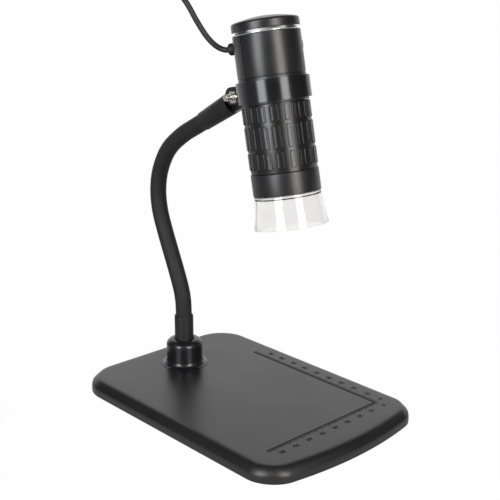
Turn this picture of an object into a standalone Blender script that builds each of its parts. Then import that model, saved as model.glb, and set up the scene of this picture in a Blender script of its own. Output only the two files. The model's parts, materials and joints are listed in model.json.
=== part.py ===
"""A USB digital microscope on a gooseneck stand, built piece by piece.

Metres, +Z up. The origin is on the table under the middle of the base, +X runs along the base
towards its bowed front edge, and the microscope hangs above the front half, aimed down.
"""

import math

import bmesh
import bpy
from mathutils import Matrix, Vector

MM = 0.001

# Fits and counts that every piece shares
CLEARANCE = 0.3 * MM
OVERRUN = 1.0 * MM
ROUND_SIDES = 36
INNER_SIDES = 24
SMALL_SIDES = 16
SCREW_SIDES = 10
CORNER_STEPS = 6
BOW_STEPS = 8
EDGE_STEPS = 4
NECK_STEPS = 400

# Base
BASE_LENGTH = 166.3 * MM
BASE_WIDTH = 118.5 * MM
BASE_BOW = 7.8 * MM
BASE_FRONT_RADIUS = 15.0 * MM
BASE_REAR_RADIUS = 22.3 * MM
BASE_HEIGHT = 8.9 * MM
BASE_EDGE_ROUND = 5.9 * MM
BASE_TOP_WALL = 2.3 * MM
BASE_SIDE_WALL = 2.5 * MM
RIM_LIFT = 0.8 * MM
COVER_THICKNESS = 1.6 * MM
BALLAST_THICKNESS = 3.3 * MM
BALLAST_LENGTH = 118.0 * MM
BALLAST_WIDTH = 84.0 * MM
FOOT_RADIUS = 6.0 * MM
FOOT_INSET = 19.0 * MM
COVER_SCREW_INSET = 13.5 * MM
COVER_SCREW_SPREAD = 17.0 * MM
COVER_SCREW_RADIUS = 1.0 * MM
COVER_SCREW_HEAD_RADIUS = 2.5 * MM
COVER_SCREW_HEAD_HEIGHT = 0.7 * MM
COVER_SCREW_LENGTH = 4.0 * MM
BOSS_RADIUS = 3.5 * MM

# Neck foot: collar, stud, nut and lower sleeve
COLLAR_X = -56.5 * MM
COLLAR_RADIUS = 11.0 * MM
COLLAR_FLARE = 3.2 * MM
COLLAR_SHOULDER = 12.5 * MM
COLLAR_DOME = 3.6 * MM
COLLAR_FLOOR = 2.8 * MM
STUD_RADIUS = 3.0 * MM
STUD_NUT_HEIGHT = 2.8 * MM
STUD_NUT_FLATS = 10.0 * MM
LOWER_SLEEVE_RADIUS = 5.75 * MM
LOWER_SLEEVE_LENGTH = 27.0 * MM

# Gooseneck
NECK_RADIUS = 4.75 * MM
NECK_LINKS = 8
NECK_SIDES = 16
NECK_RINGS = 5
BALL_RINGS = 3
FIRST_PIVOT_ABOVE_SLEEVE = 5.0 * MM
LAST_PIVOT_BELOW_SLEEVE = 18.0 * MM
UPPER_SLEEVE_ANGLE = math.radians(28.3)
UPPER_SLEEVE_START = 36.5 * MM
UPPER_SLEEVE_END = 9.4 * MM
UPPER_SLEEVE_RADIUS = 5.4 * MM
UPPER_SLEEVE_FLARE = 0.7 * MM
# The neck's line in shares of the bolt's reach and rise from the top of the collar
NECK_LINE_SHARES = (
    (0.0000, 0.0000),
    (0.0000, 0.0552),
    (0.0000, 0.1083),
    (-0.0078, 0.1585),
    (-0.0331, 0.1986),
    (-0.1179, 0.2738),
    (-0.2143, 0.3490),
    (-0.3088, 0.4242),
    (-0.3877, 0.5005),
    (-0.4121, 0.5797),
    (-0.3634, 0.6629),
    (-0.2124, 0.7502),
    (0.0351, 0.8184),
)

# Clamp; the bolt's axis is what the microscope tilts about
BOLT_X = -2.35 * MM
BOLT_Z = 179.85 * MM
BOLT_DROP = 0.72 * MM
BOLT_RADIUS = 1.75 * MM
BOLT_HEAD_RADIUS = 3.0 * MM
BOLT_HEAD_HEIGHT = 3.0 * MM
BOLT_SOCKET_DEPTH = 1.5 * MM
BOLT_SOCKET_FLATS = 3.0 * MM
BOLT_TIP = 6.3 * MM
NUT_FLATS = 6.2 * MM
NUT_HEIGHT = 2.4 * MM
LUG_THICKNESS = 3.6 * MM
LUG_HALF_WIDTH = 5.9 * MM
LUG_OVERHANG = 4.0 * MM
LUG_ROUND = 2.5 * MM
LUG_STEM_LENGTH = 20.0 * MM
EAR_THICKNESS = 2.9 * MM
RING_HEIGHT = 11.2 * MM
RING_WALL = 1.25 * MM
EAR_STANDOFF = 6.67 * MM
EAR_OVERHANG = 3.9 * MM
EAR_SET_BACK = 0.8 * MM

# Microscope; stations run down its axis from the rim of the top cap
TILT = math.radians(11.6)
RING_STATION = 35.7 * MM
BARREL_RADIUS = 17.75 * MM
BARREL_WALL = 1.6 * MM
CAP_HEIGHT = 4.7 * MM
CAP_SPIGOT = 2.8 * MM
CAP_ROUND = 1.5 * MM
CAP_CROWN = 2.2 * MM
CAP_CROWN_SHARES = (0.45, 0.8)
CHROME_HEIGHT = 1.6 * MM
CHROME_PROUD = 0.15 * MM
BARREL_END = 42.2 * MM
GROOVE_STATION = 28.6 * MM
GROOVE_WIDTH = 0.8 * MM
SEAM_ANGLE = math.radians(-90.0)
GRIP_LENGTH = 35.1 * MM
GRIP_RIB_PROUD = 0.55 * MM
GRIP_INSET = 0.15 * MM
GRIP_RIBS = 27
GRIP_RIB_RAMP = 0.3 * MM
# Each row of ribs starts and ends at these shares of the grip's length
GRIP_ROW_SHARES = ((0.035, 0.290), (0.345, 0.650), (0.705, 0.955))
TUBE_LIP = 0.65 * MM
TUBE_WALL = 1.4 * MM
TUBE_TOP = 38.4 * MM
TUBE_FLANGE = 3.5 * MM
TUBE_TAIL = 6.6 * MM
FRONT_RING_PROUD = 0.25 * MM
FRONT_RING_LENGTH = 11.5 * MM
HOOD_LENGTH = 17.3 * MM
HOOD_SET_IN = 0.3 * MM
HOOD_WAIST_FLARE = 0.8 * MM
HOOD_RIM_FLARE = 2.1 * MM
HOOD_WALL = 1.3 * MM
HOOD_SPIGOT_LENGTH = 4.8 * MM
HOOD_WAIST_SHARE = 0.5

# Grommet, button and wheel; angles run round the barrel from the side away from the neck
GROMMET_STATION = 12.0 * MM
GROMMET_ANGLE = math.radians(209.2)
GROMMET_RADIUS = 3.0 * MM
GROMMET_PROUD = 4.0 * MM
GROMMET_TIP_RADIUS = 1.9 * MM
GROMMET_FLANGE_RADIUS = 4.2 * MM
GROMMET_FLANGE = 1.6 * MM
CONTROLS_ANGLE = math.radians(65.0)
BUTTON_STATION = 14.5 * MM
BUTTON_RADIUS = 4.0 * MM
BUTTON_PROUD = 1.15 * MM
BUTTON_STEM_RADIUS = 1.6 * MM
BUTTON_FLANGE_RADIUS = 5.0 * MM
BUTTON_FLANGE = 0.9 * MM
BUTTON_TRAVEL = 0.7 * MM
WHEEL_STATION = 24.2 * MM
WHEEL_RADIUS = 7.0 * MM
WHEEL_THICKNESS = 2.4 * MM
WHEEL_PROUD = 1.45 * MM
WHEEL_TEETH = 24
WHEEL_TOOTH = 0.35 * MM
WHEEL_BORE = 1.5 * MM
POT_SIDE = 7.0 * MM
POT_HEIGHT = 3.2 * MM

# Inside the microscope
BOARD_THICKNESS = 1.2 * MM
BOARD_OFFSET = 1.5 * MM
BOARD_START = 10.5 * MM
BOARD_END = 36.0 * MM
SWITCH_SIDE = 4.5 * MM
SWITCH_HEIGHT = 5.2 * MM
SENSOR_STATION = 50.0 * MM
SENSOR_SIDE = 7.0 * MM
SENSOR_HEIGHT = 1.4 * MM
CARRIAGE_START = 60.0 * MM
CARRIAGE_FLANGE_START = 64.0 * MM
CARRIAGE_FLANGE = 3.0 * MM
CARRIAGE_END = 78.0 * MM
CARRIAGE_RADIUS = 7.0 * MM
CARRIAGE_BORE = 4.0 * MM
LENS_RADIUS = 5.0 * MM
LENS_THICKNESS = 2.2 * MM
LED_BOARD_SET_BACK = 1.8 * MM
LED_BOARD_HOLE = 7.6 * MM
LED_COUNT = 8
LED_RADIUS = 1.25 * MM
LED_HEIGHT = 2.0 * MM

# Cable and plug
CABLE_DIAMETER = 3.0 * MM
CABLE_STEPS = 64
COIL_CENTRE = (-84.5 * MM, -142.0 * MM)
COIL_MEAN_RADIUS = 16.0 * MM
COIL_TURNS = 10.25
COIL_LAYERS = 4
COIL_STEP = 3.5 * MM
COIL_POINTS_PER_TURN = 24
PLUG_RELIEF = 7.0 * MM
PLUG_LENGTH = 22.0 * MM
PLUG_WIDTH = 14.0 * MM
PLUG_THICKNESS = 7.6 * MM
PLUG_ROUND = 1.6 * MM
SHELL_LENGTH = 12.0 * MM
SHELL_WIDTH = 12.0 * MM
SHELL_THICKNESS = 4.5 * MM
SHELL_MOUTH = 8.0 * MM
SHELL_WALL = 0.5 * MM
SHELL_TONGUE = 1.8 * MM
PLUG_REACH = 28.0 * MM
PLUG_SIDE_STEP = 4.5 * MM
PLUG_STEPS = 16
# The free stretch's own points, from the grommet to the coil; its two ends are worked out
CABLE_ROUTE = (
    (-7.6 * MM, -14.5 * MM, 206.6 * MM),
    (-11.2 * MM, -17.2 * MM, 211.6 * MM),
    (-15.4 * MM, -20.1 * MM, 219.0 * MM),
    (-20.8 * MM, -23.9 * MM, 230.0 * MM),
    (-29.0 * MM, -30.0 * MM, 240.5 * MM),
    (-42.0 * MM, -41.0 * MM, 247.0 * MM),
    (-57.0 * MM, -54.5 * MM, 249.0 * MM),
    (-72.0 * MM, -68.5 * MM, 247.5 * MM),
    (-86.5 * MM, -83.5 * MM, 240.0 * MM),
    (-97.0 * MM, -96.0 * MM, 224.5 * MM),
    (-102.4 * MM, -102.4 * MM, 200.0 * MM),
    (-104.3 * MM, -104.9 * MM, 160.0 * MM),
    (-104.8 * MM, -106.2 * MM, 110.0 * MM),
    (-104.8 * MM, -107.0 * MM, 60.0 * MM),
    (-104.7 * MM, -108.6 * MM, 25.0 * MM),
    (-104.5 * MM, -113.0 * MM, 7.0 * MM),
    (-104.6 * MM, -121.0 * MM, 1.6 * MM),
    (-105.0 * MM, -130.0 * MM, 1.6 * MM),
)

# The run from the coil's end down to the plug, as steps from the coil's end
PLUG_ROUTE = (
    (10.0 * MM, 0.1 * MM, -0.5 * MM),
    (15.5 * MM, 1.3 * MM, -3.0 * MM),
    (20.5 * MM, 3.2 * MM, -6.6 * MM),
)

# Derived places of the stack in the base
COVER_BOTTOM = RIM_LIFT + CLEARANCE
COVER_TOP = COVER_BOTTOM + COVER_THICKNESS
SHELL_CEILING = BASE_HEIGHT - BASE_TOP_WALL
BALLAST_BOTTOM = COVER_TOP + CLEARANCE
BASE_X = BASE_BOW / 2
COLLAR_TOP = BASE_HEIGHT + COLLAR_SHOULDER + COLLAR_DOME
NECK_FOOT = BASE_HEIGHT + COLLAR_FLOOR + CLEARANCE
SLEEVE_FOOT = NECK_FOOT + OVERRUN
SLEEVE_TOP = SLEEVE_FOOT + LOWER_SLEEVE_LENGTH
SOCKET_RADIUS = NECK_RADIUS + CLEARANCE

# Derived places of the microscope
BOLT = Vector((BOLT_X, 0, BOLT_Z))
EAR_REACH = BARREL_RADIUS + EAR_STANDOFF
AXIS_UP = Vector((-math.sin(TILT), 0, math.cos(TILT)))
AXIS_SIDE = Vector((math.cos(TILT), 0, math.sin(TILT)))
RING_CENTRE = BOLT + AXIS_SIDE * EAR_REACH + AXIS_UP * BOLT_DROP
BARREL_BORE = BARREL_RADIUS - BARREL_WALL
CHROME_START = CAP_HEIGHT + CLEARANCE
BARREL_START = CHROME_START + CHROME_HEIGHT + CLEARANCE
TUBE_RADIUS = BARREL_BORE - CLEARANCE - TUBE_LIP
GRIP_START = BARREL_END + CLEARANCE
GRIP_END = GRIP_START + GRIP_LENGTH
GRIP_BODY_RADIUS = BARREL_RADIUS - GRIP_INSET
TUBE_END = GRIP_END + TUBE_TAIL
LED_BOARD_STATION = TUBE_END - LED_BOARD_SET_BACK
FRONT_RING_START = GRIP_END + CLEARANCE
FRONT_RING_END = FRONT_RING_START + FRONT_RING_LENGTH
FRONT_RING_RADIUS = BARREL_RADIUS + FRONT_RING_PROUD
HOOD_START = FRONT_RING_END + CLEARANCE
HOOD_END = HOOD_START + HOOD_LENGTH
HOOD_TOP_RADIUS = FRONT_RING_RADIUS - HOOD_SET_IN
HOOD_WAIST_RADIUS = HOOD_TOP_RADIUS + HOOD_WAIST_FLARE
HOOD_RIM_RADIUS = HOOD_TOP_RADIUS + HOOD_RIM_FLARE
SLEEVE_AXIS = Vector((math.cos(UPPER_SLEEVE_ANGLE), 0, math.sin(UPPER_SLEEVE_ANGLE)))

BLACK_PLASTIC = ("black_plastic", (0.028, 0.027, 0.029), 0.38, 0.0)
GLOSS_PLASTIC = ("gloss_black_plastic", (0.018, 0.018, 0.02), 0.2, 0.0)
SLEEVE_RUBBER = ("black_rubber", (0.022, 0.022, 0.024), 0.62, 0.0)
FOOT_RUBBER = ("foot_rubber", (0.03, 0.03, 0.03), 0.8, 0.0)
CABLE_RUBBER = ("cable_rubber", (0.02, 0.02, 0.021), 0.5, 0.0)
STEEL = ("steel", (0.62, 0.6, 0.56), 0.3, 1.0)
BALLAST_STEEL = ("ballast_steel", (0.4, 0.4, 0.41), 0.55, 1.0)
CHROME = ("chrome", (0.85, 0.85, 0.86), 0.08, 1.0)
CLEAR_PLASTIC = ("clear_plastic", (0.93, 0.93, 0.91), 0.1, 0.0)
LENS_GLASS = ("lens_glass", (0.75, 0.8, 0.85), 0.03, 0.0)
GREEN_BOARD = ("green_board", (0.03, 0.16, 0.06), 0.45, 0.0)
WHITE_BOARD = ("white_board", (0.85, 0.85, 0.82), 0.4, 0.0)


def clear_scene():
    """Remove whatever the scene holds."""
    for thing in list(bpy.data.objects):
        bpy.data.objects.remove(thing, do_unlink=True)


def material_of(finish):
    """The material of a finish, made once."""
    name, colour, roughness, metallic = finish
    material = bpy.data.materials.get(name)
    if material is None:
        material = bpy.data.materials.new(name)
        material.use_nodes = True
        shader = material.node_tree.nodes["Principled BSDF"]
        shader.inputs["Base Color"].default_value = (*colour, 1)
        shader.inputs["Roughness"].default_value = roughness
        shader.inputs["Metallic"].default_value = metallic
        material.diffuse_color = (*colour, 1)
    return material


def empty_at(name, place, parent=None, turn=None):
    """An empty at a world place, under a parent empty, optionally turned."""
    marker = bpy.data.objects.new(name, None)
    bpy.context.collection.objects.link(marker)
    world = Matrix.Translation(place) @ (turn or Matrix.Identity(4))
    marker.matrix_world = world
    if parent is not None:
        marker.parent = parent
        marker.matrix_parent_inverse = parent.matrix_world.inverted()
    bpy.context.view_layer.update()
    return marker


def add_piece(name, mesh_source, finish, parent=None):
    """Turn a bmesh into a named object under an empty, in the empty's own coordinates."""
    bmesh.ops.recalc_face_normals(mesh_source, faces=mesh_source.faces)
    mesh = bpy.data.meshes.new(name)
    mesh_source.to_mesh(mesh)
    mesh_source.free()
    mesh.shade_smooth()
    mesh.set_sharp_from_angle(angle=math.radians(35))
    piece = bpy.data.objects.new(name, mesh)
    bpy.context.collection.objects.link(piece)
    if finish is not None:
        mesh.materials.append(material_of(finish))
    if parent is not None:
        piece.parent = parent
    return piece


def hide_guide(guide):
    """Mark a cutter or a joined shape as a guide that isn't a piece."""
    guide.hide_render = True
    guide.display_type = "WIRE"


def combine(piece, guide, operation="DIFFERENCE"):
    """Cut a guide from a piece, or join it on."""
    hide_guide(guide)
    modifier = piece.modifiers.new(guide.name, "BOOLEAN")
    modifier.operation = operation
    modifier.solver = "EXACT"
    modifier.object = guide


def bridge_rings(bm, rings, closed=True):
    """Join rings of vertices in turn; a ring of one vertex is a pole."""
    for low, high in zip(rings, rings[1:]):
        count = max(len(low), len(high))
        steps = count if closed else count - 1
        for i in range(steps):
            j = (i + 1) % count
            if len(low) == 1:
                corners = (low[0], high[j], high[i])
            elif len(high) == 1:
                corners = (low[i], low[j], high[0])
            else:
                corners = (low[i], low[j], high[j], high[i])
            bm.faces.new(corners)


def turned_mesh(profile, sides=ROUND_SIDES, loop=False, bm=None, place=None):
    """A turned solid about Z from (radius, height) points; a loop of points makes a tube."""
    bm = bm or bmesh.new()
    place = place or Matrix.Identity(4)
    rings = []
    for radius, height in profile:
        if radius == 0:
            rings.append([bm.verts.new(place @ Vector((0, 0, height)))])
            continue
        ring = []
        for i in range(sides):
            angle = math.tau * i / sides
            point = Vector((radius * math.cos(angle), radius * math.sin(angle), height))
            ring.append(bm.verts.new(place @ point))
        rings.append(ring)
    if loop:
        rings.append(rings[0])
    bridge_rings(bm, rings)
    return bm


def part_turned_mesh(profile, start, end, sides):
    """A closed loop of (radius, height) points turned part of the way round Z."""
    bm = bmesh.new()
    sections = []
    for i in range(sides + 1):
        angle = start + (end - start) * i / sides
        sections.append([bm.verts.new((r * math.cos(angle), r * math.sin(angle), z)) for r, z in profile])
    bridge_rings(bm, sections)
    bm.faces.new(sections[0])
    bm.faces.new(list(reversed(sections[-1])))
    return bm


def prism_mesh(outline, low, high, bm=None, place=None):
    """A straight prism over an outline of (x, y) points."""
    bm = bm or bmesh.new()
    place = place or Matrix.Identity(4)
    floor = [bm.verts.new(place @ Vector((x, y, low))) for x, y in outline]
    roof = [bm.verts.new(place @ Vector((x, y, high))) for x, y in outline]
    bridge_rings(bm, [floor, roof])
    bm.faces.new(floor)
    bm.faces.new(roof)
    return bm


def ring_outline(radius, sides, start=0.0):
    """Points of a regular polygon or circle."""
    return [
        (radius * math.cos(start + math.tau * i / sides), radius * math.sin(start + math.tau * i / sides))
        for i in range(sides)
    ]


def hexagon(flats):
    """A hexagon's points from its size across flats."""
    return ring_outline(flats / 2 / math.cos(math.pi / 6), 6)


def box_outline(length, width):
    """Corner points of a rectangle about the middle."""
    return [
        (-length / 2, -width / 2),
        (length / 2, -width / 2),
        (length / 2, width / 2),
        (-length / 2, width / 2),
    ]


def rounded_outline(length, width, radius, steps=4):
    """Points of a rounded rectangle about the middle."""
    corners = (
        (length / 2 - radius, width / 2 - radius, 0.0),
        (-length / 2 + radius, width / 2 - radius, math.pi / 2),
        (-length / 2 + radius, -width / 2 + radius, math.pi),
        (length / 2 - radius, -width / 2 + radius, -math.pi / 2),
    )
    points = []
    for x, y, start in corners:
        for i in range(steps + 1):
            angle = start + math.pi / 2 * i / steps
            points.append((x + radius * math.cos(angle), y + radius * math.sin(angle)))
    return points


def base_outline(inset):
    """The base's outline, drawn in by an inset: rounded corners and a front edge that bows out."""
    half_x = BASE_LENGTH / 2 - inset
    half_y = BASE_WIDTH / 2 - inset
    front = BASE_FRONT_RADIUS - inset
    rear = BASE_REAR_RADIUS - inset
    points = []
    for side in (-1, 1):
        centre = (half_x - front, side * (half_y - front))
        start = -math.pi / 2 if side < 0 else 0.0
        for i in range(CORNER_STEPS + 1):
            angle = start + math.pi / 2 * i / CORNER_STEPS
            points.append((centre[0] + front * math.cos(angle), centre[1] + front * math.sin(angle)))
        if side < 0:
            for i in range(1, BOW_STEPS):
                points.append((half_x, centre[1] - 2 * centre[1] * i / BOW_STEPS))
    for side in (1, -1):
        centre = (-half_x + rear, side * (half_y - rear))
        start = math.pi / 2 if side > 0 else math.pi
        for i in range(CORNER_STEPS + 1):
            angle = start + math.pi / 2 * i / CORNER_STEPS
            points.append((centre[0] + rear * math.cos(angle), centre[1] + rear * math.sin(angle)))
    bowed = []
    for x, y in points:
        push = BASE_BOW * (1 - (2 * y / BASE_WIDTH) ** 2) if x > 0 else 0.0
        bowed.append((x + push - BASE_X, y))
    return bowed


def base_corner(index, inset, spread=0.0):
    """A place near one corner of the base, drawn in by an inset on both sides."""
    sign_x = 1 if index % 2 else -1
    sign_y = 1 if index // 2 else -1
    x = sign_x * (BASE_LENGTH / 2 - inset - spread) - BASE_X
    return x, sign_y * (BASE_WIDTH / 2 - inset)


def layered_mesh(outlines):
    """A solid through outlines of equal count, each with its height, closed at both ends."""
    bm = bmesh.new()
    rings = [[bm.verts.new((x, y, height)) for x, y in outline] for outline, height in outlines]
    bridge_rings(bm, rings)
    bm.faces.new(rings[0])
    bm.faces.new(rings[-1])
    return bm


def smooth_line(points, count):
    """Evenly spaced points along a smooth curve through hand-chosen points."""
    knots = [Vector(p) for p in points]
    ends = [2 * knots[0] - knots[1], *knots, 2 * knots[-1] - knots[-2]]
    fine = []
    steps = 24
    for before, a, b, after in zip(ends, ends[1:], ends[2:], ends[3:]):
        t1 = (a - before).length ** 0.5
        t2 = t1 + (b - a).length ** 0.5
        t3 = t2 + (after - b).length ** 0.5
        for i in range(steps):
            t = t1 + (t2 - t1) * i / steps
            a1 = before * ((t1 - t) / t1) + a * (t / t1)
            a2 = a * ((t2 - t) / (t2 - t1)) + b * ((t - t1) / (t2 - t1))
            a3 = b * ((t3 - t) / (t3 - t2)) + after * ((t - t2) / (t3 - t2))
            b1 = a1 * ((t2 - t) / t2) + a2 * (t / t2)
            b2 = a2 * ((t3 - t) / (t3 - t1)) + a3 * ((t - t1) / (t3 - t1))
            fine.append(b1 * ((t2 - t) / (t2 - t1)) + b2 * ((t - t1) / (t2 - t1)))
    fine.append(knots[-1])
    return evenly(fine, count)


def line_length(points):
    """The length along a line of points."""
    return sum((b - a).length for a, b in zip(points, points[1:]))


def at_distance(points, distance):
    """The place and direction at a distance along a line of points."""
    for a, b in zip(points, points[1:]):
        step = (b - a).length
        if distance <= step:
            return a.lerp(b, distance / step), (b - a).normalized()
        distance -= step
    return points[-1].copy(), (points[-1] - points[-2]).normalized()


def evenly(points, count):
    """The line read again at evenly spaced points."""
    total = line_length(points)
    return [at_distance(points, total * i / (count - 1))[0] for i in range(count)]


def make_base(stand):
    """Shell, cover, ballast, feet and screws."""
    steps = []
    cover_outline = base_outline(BASE_SIDE_WALL + CLEARANCE)
    steps.append((base_outline(0), RIM_LIFT))
    round_start = BASE_HEIGHT - BASE_EDGE_ROUND
    for i in range(EDGE_STEPS + 1):
        angle = math.pi / 2 * i / EDGE_STEPS
        inset = BASE_EDGE_ROUND * (1 - math.cos(angle))
        steps.append((base_outline(inset), round_start + BASE_EDGE_ROUND * math.sin(angle)))
    shell = add_piece("base_shell", layered_mesh(steps), BLACK_PLASTIC, stand)
    inner_round = BASE_EDGE_ROUND - BASE_TOP_WALL
    hollow = [
        (base_outline(BASE_SIDE_WALL), RIM_LIFT - OVERRUN),
        (base_outline(BASE_SIDE_WALL), SHELL_CEILING - inner_round),
        (base_outline(BASE_SIDE_WALL + inner_round / 3), SHELL_CEILING - inner_round / 3),
        (base_outline(BASE_SIDE_WALL + inner_round), SHELL_CEILING),
    ]
    combine(shell, add_piece("shell_hollow", layered_mesh(hollow), None, stand))
    bosses = bmesh.new()
    boss_holes = bmesh.new()
    cover_holes = bmesh.new()
    hole_radius = COVER_SCREW_RADIUS + CLEARANCE
    head_bore = COVER_SCREW_HEAD_RADIUS + CLEARANCE
    head_top = COVER_BOTTOM + COVER_SCREW_HEAD_HEIGHT
    screw_top = head_top + COVER_SCREW_LENGTH
    for index in range(4):
        x, y = base_corner(index, COVER_SCREW_INSET, COVER_SCREW_SPREAD)
        place = Matrix.Translation((x, y, 0))
        prism_mesh(ring_outline(BOSS_RADIUS, SMALL_SIDES), BALLAST_BOTTOM, SHELL_CEILING + OVERRUN, bosses, place)
        prism_mesh(ring_outline(hole_radius, SCREW_SIDES), RIM_LIFT, screw_top + CLEARANCE, boss_holes, place)
        stepped = (
            (0, COVER_BOTTOM - OVERRUN),
            (head_bore, COVER_BOTTOM - OVERRUN),
            (head_bore, head_top + CLEARANCE),
            (hole_radius, head_top + CLEARANCE),
            (hole_radius, COVER_TOP + OVERRUN),
            (0, COVER_TOP + OVERRUN),
        )
        turned_mesh(stepped, SCREW_SIDES, bm=cover_holes, place=place)
        screw = (
            (0, COVER_BOTTOM),
            (COVER_SCREW_HEAD_RADIUS, COVER_BOTTOM),
            (COVER_SCREW_HEAD_RADIUS, head_top),
            (COVER_SCREW_RADIUS, head_top),
            (COVER_SCREW_RADIUS, screw_top),
            (0, screw_top),
        )
        piece = add_piece(f"cover_screw_{index + 1}", turned_mesh(screw, SCREW_SIDES), STEEL, stand)
        piece.location = (x, y, 0)
    stud_hole = ring_outline(STUD_RADIUS + CLEARANCE, SMALL_SIDES)
    at_collar = Matrix.Translation((COLLAR_X, 0, 0))
    prism_mesh(stud_hole, SHELL_CEILING - OVERRUN, BASE_HEIGHT + OVERRUN, boss_holes, at_collar)
    combine(shell, add_piece("shell_bosses", bosses, None, stand), "UNION")
    combine(shell, add_piece("shell_holes", boss_holes, None, stand))
    cover = add_piece(
        "base_bottom_cover", layered_mesh([(cover_outline, COVER_BOTTOM), (cover_outline, COVER_TOP)]), BLACK_PLASTIC, stand
    )
    combine(cover, add_piece("cover_holes", cover_holes, None, stand))
    ballast_top = BALLAST_BOTTOM + BALLAST_THICKNESS
    plate = prism_mesh(box_outline(BALLAST_LENGTH, BALLAST_WIDTH), BALLAST_BOTTOM, ballast_top)
    ballast = add_piece("ballast_plate", plate, BALLAST_STEEL, stand)
    well = ring_outline(STUD_NUT_FLATS / 2 / math.cos(math.pi / 6) + 2 * CLEARANCE, SMALL_SIDES)
    well_mesh = prism_mesh(well, BALLAST_BOTTOM - OVERRUN, ballast_top + OVERRUN, place=at_collar)
    combine(ballast, add_piece("ballast_well", well_mesh, None, stand))
    notches = bmesh.new()
    notch = ring_outline(BOSS_RADIUS + CLEARANCE, SMALL_SIDES)
    for index in range(4):
        place = Matrix.Translation((*base_corner(index, COVER_SCREW_INSET, COVER_SCREW_SPREAD), 0))
        prism_mesh(notch, BALLAST_BOTTOM - OVERRUN, ballast_top + OVERRUN, notches, place)
    combine(ballast, add_piece("ballast_notches", notches, None, stand))
    for index in range(4):
        x, y = base_corner(index, FOOT_INSET)
        foot_top = COVER_BOTTOM - CLEARANCE
        edge = foot_top / 4
        profile = ((0, 0), (FOOT_RADIUS - edge, 0), (FOOT_RADIUS, edge), (FOOT_RADIUS, foot_top), (0, foot_top))
        foot = add_piece(f"foot_{index + 1}", turned_mesh(profile, SMALL_SIDES), FOOT_RUBBER, stand)
        foot.location = (x, y, 0)


def make_collar(stand):
    """Collar with its flared foot, the stud and nut that hold it, and the sleeve in it."""
    seat = BASE_HEIGHT + CLEARANCE
    shoulder = BASE_HEIGHT + COLLAR_SHOULDER
    sleeve_bore = LOWER_SLEEVE_RADIUS + CLEARANCE
    floor = BASE_HEIGHT + COLLAR_FLOOR
    profile = [(STUD_RADIUS + CLEARANCE, seat)]
    for i in range(EDGE_STEPS + 1):
        angle = math.pi / 2 * i / EDGE_STEPS
        reach = COLLAR_FLARE * (1 - math.sin(angle))
        profile.append((COLLAR_RADIUS + reach, seat + CLEARANCE + COLLAR_FLARE * (1 - math.cos(angle))))
    profile.insert(1, (COLLAR_RADIUS + COLLAR_FLARE, seat))
    dome_reach = COLLAR_RADIUS - sleeve_bore
    for i in range(EDGE_STEPS + 1):
        angle = math.pi / 2 * i / EDGE_STEPS
        profile.append((COLLAR_RADIUS - dome_reach * (1 - math.cos(angle)), shoulder + COLLAR_DOME * math.sin(angle)))
    profile += [(sleeve_bore, floor), (STUD_RADIUS + CLEARANCE, floor)]
    collar = add_piece("neck_collar", turned_mesh(profile, ROUND_SIDES, loop=True), GLOSS_PLASTIC, stand)
    nut_top = SHELL_CEILING - CLEARANCE
    stud_foot = nut_top - STUD_NUT_HEIGHT - CLEARANCE
    stud_profile = ((0, stud_foot), (STUD_RADIUS, stud_foot), (STUD_RADIUS, floor), (0, floor))
    stud = add_piece("neck_stud", turned_mesh(stud_profile, SMALL_SIDES), STEEL, stand)
    nut = add_piece(
        "collar_nut", prism_mesh(hexagon(STUD_NUT_FLATS), nut_top - STUD_NUT_HEIGHT, nut_top), STEEL, stand
    )
    bore = prism_mesh(ring_outline(STUD_RADIUS + CLEARANCE, SMALL_SIDES), 0, nut_top + OVERRUN)
    nut_bore = add_piece("nut_bore", bore, None, stand)
    combine(nut, nut_bore)
    sleeve_profile = (
        (SOCKET_RADIUS, SLEEVE_FOOT),
        (LOWER_SLEEVE_RADIUS, SLEEVE_FOOT),
        (LOWER_SLEEVE_RADIUS, SLEEVE_TOP),
        (SOCKET_RADIUS, SLEEVE_TOP),
    )
    sleeve = add_piece("lower_sleeve", turned_mesh(sleeve_profile, SMALL_SIDES, loop=True), SLEEVE_RUBBER, stand)
    for piece in (collar, stud, nut, nut_bore, sleeve):
        piece.location.x = COLLAR_X


def neck_line():
    """The gooseneck's centre line from the collar's floor to the bolt."""
    reach = BOLT_X - COLLAR_X
    rise = BOLT_Z - COLLAR_TOP
    points = [Vector((COLLAR_X, 0, NECK_FOOT))]
    points += [Vector((COLLAR_X + reach * x, 0, COLLAR_TOP + rise * z)) for x, z in NECK_LINE_SHARES]
    points.append(BOLT - SLEEVE_AXIS * (UPPER_SLEEVE_START + LAST_PIVOT_BELOW_SLEEVE / 3))
    points.append(BOLT - SLEEVE_AXIS * UPPER_SLEEVE_START)
    points.append(BOLT - SLEEVE_AXIS * LUG_STEM_LENGTH)
    points.append(BOLT.copy())
    return smooth_line(points, NECK_STEPS)


def neck_distances(line):
    """Distances along the neck of its foot, its pivots and its end."""
    first = SLEEVE_TOP + FIRST_PIVOT_ABOVE_SLEEVE - NECK_FOOT
    end = line_length(line) - LUG_STEM_LENGTH - UPPER_SLEEVE_END - CLEARANCE
    last = line_length(line) - UPPER_SLEEVE_START - LAST_PIVOT_BELOW_SLEEVE
    gaps = NECK_LINKS - 2
    return [0.0, *[first + (last - first) * i / gaps for i in range(gaps + 1)], end]


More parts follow.
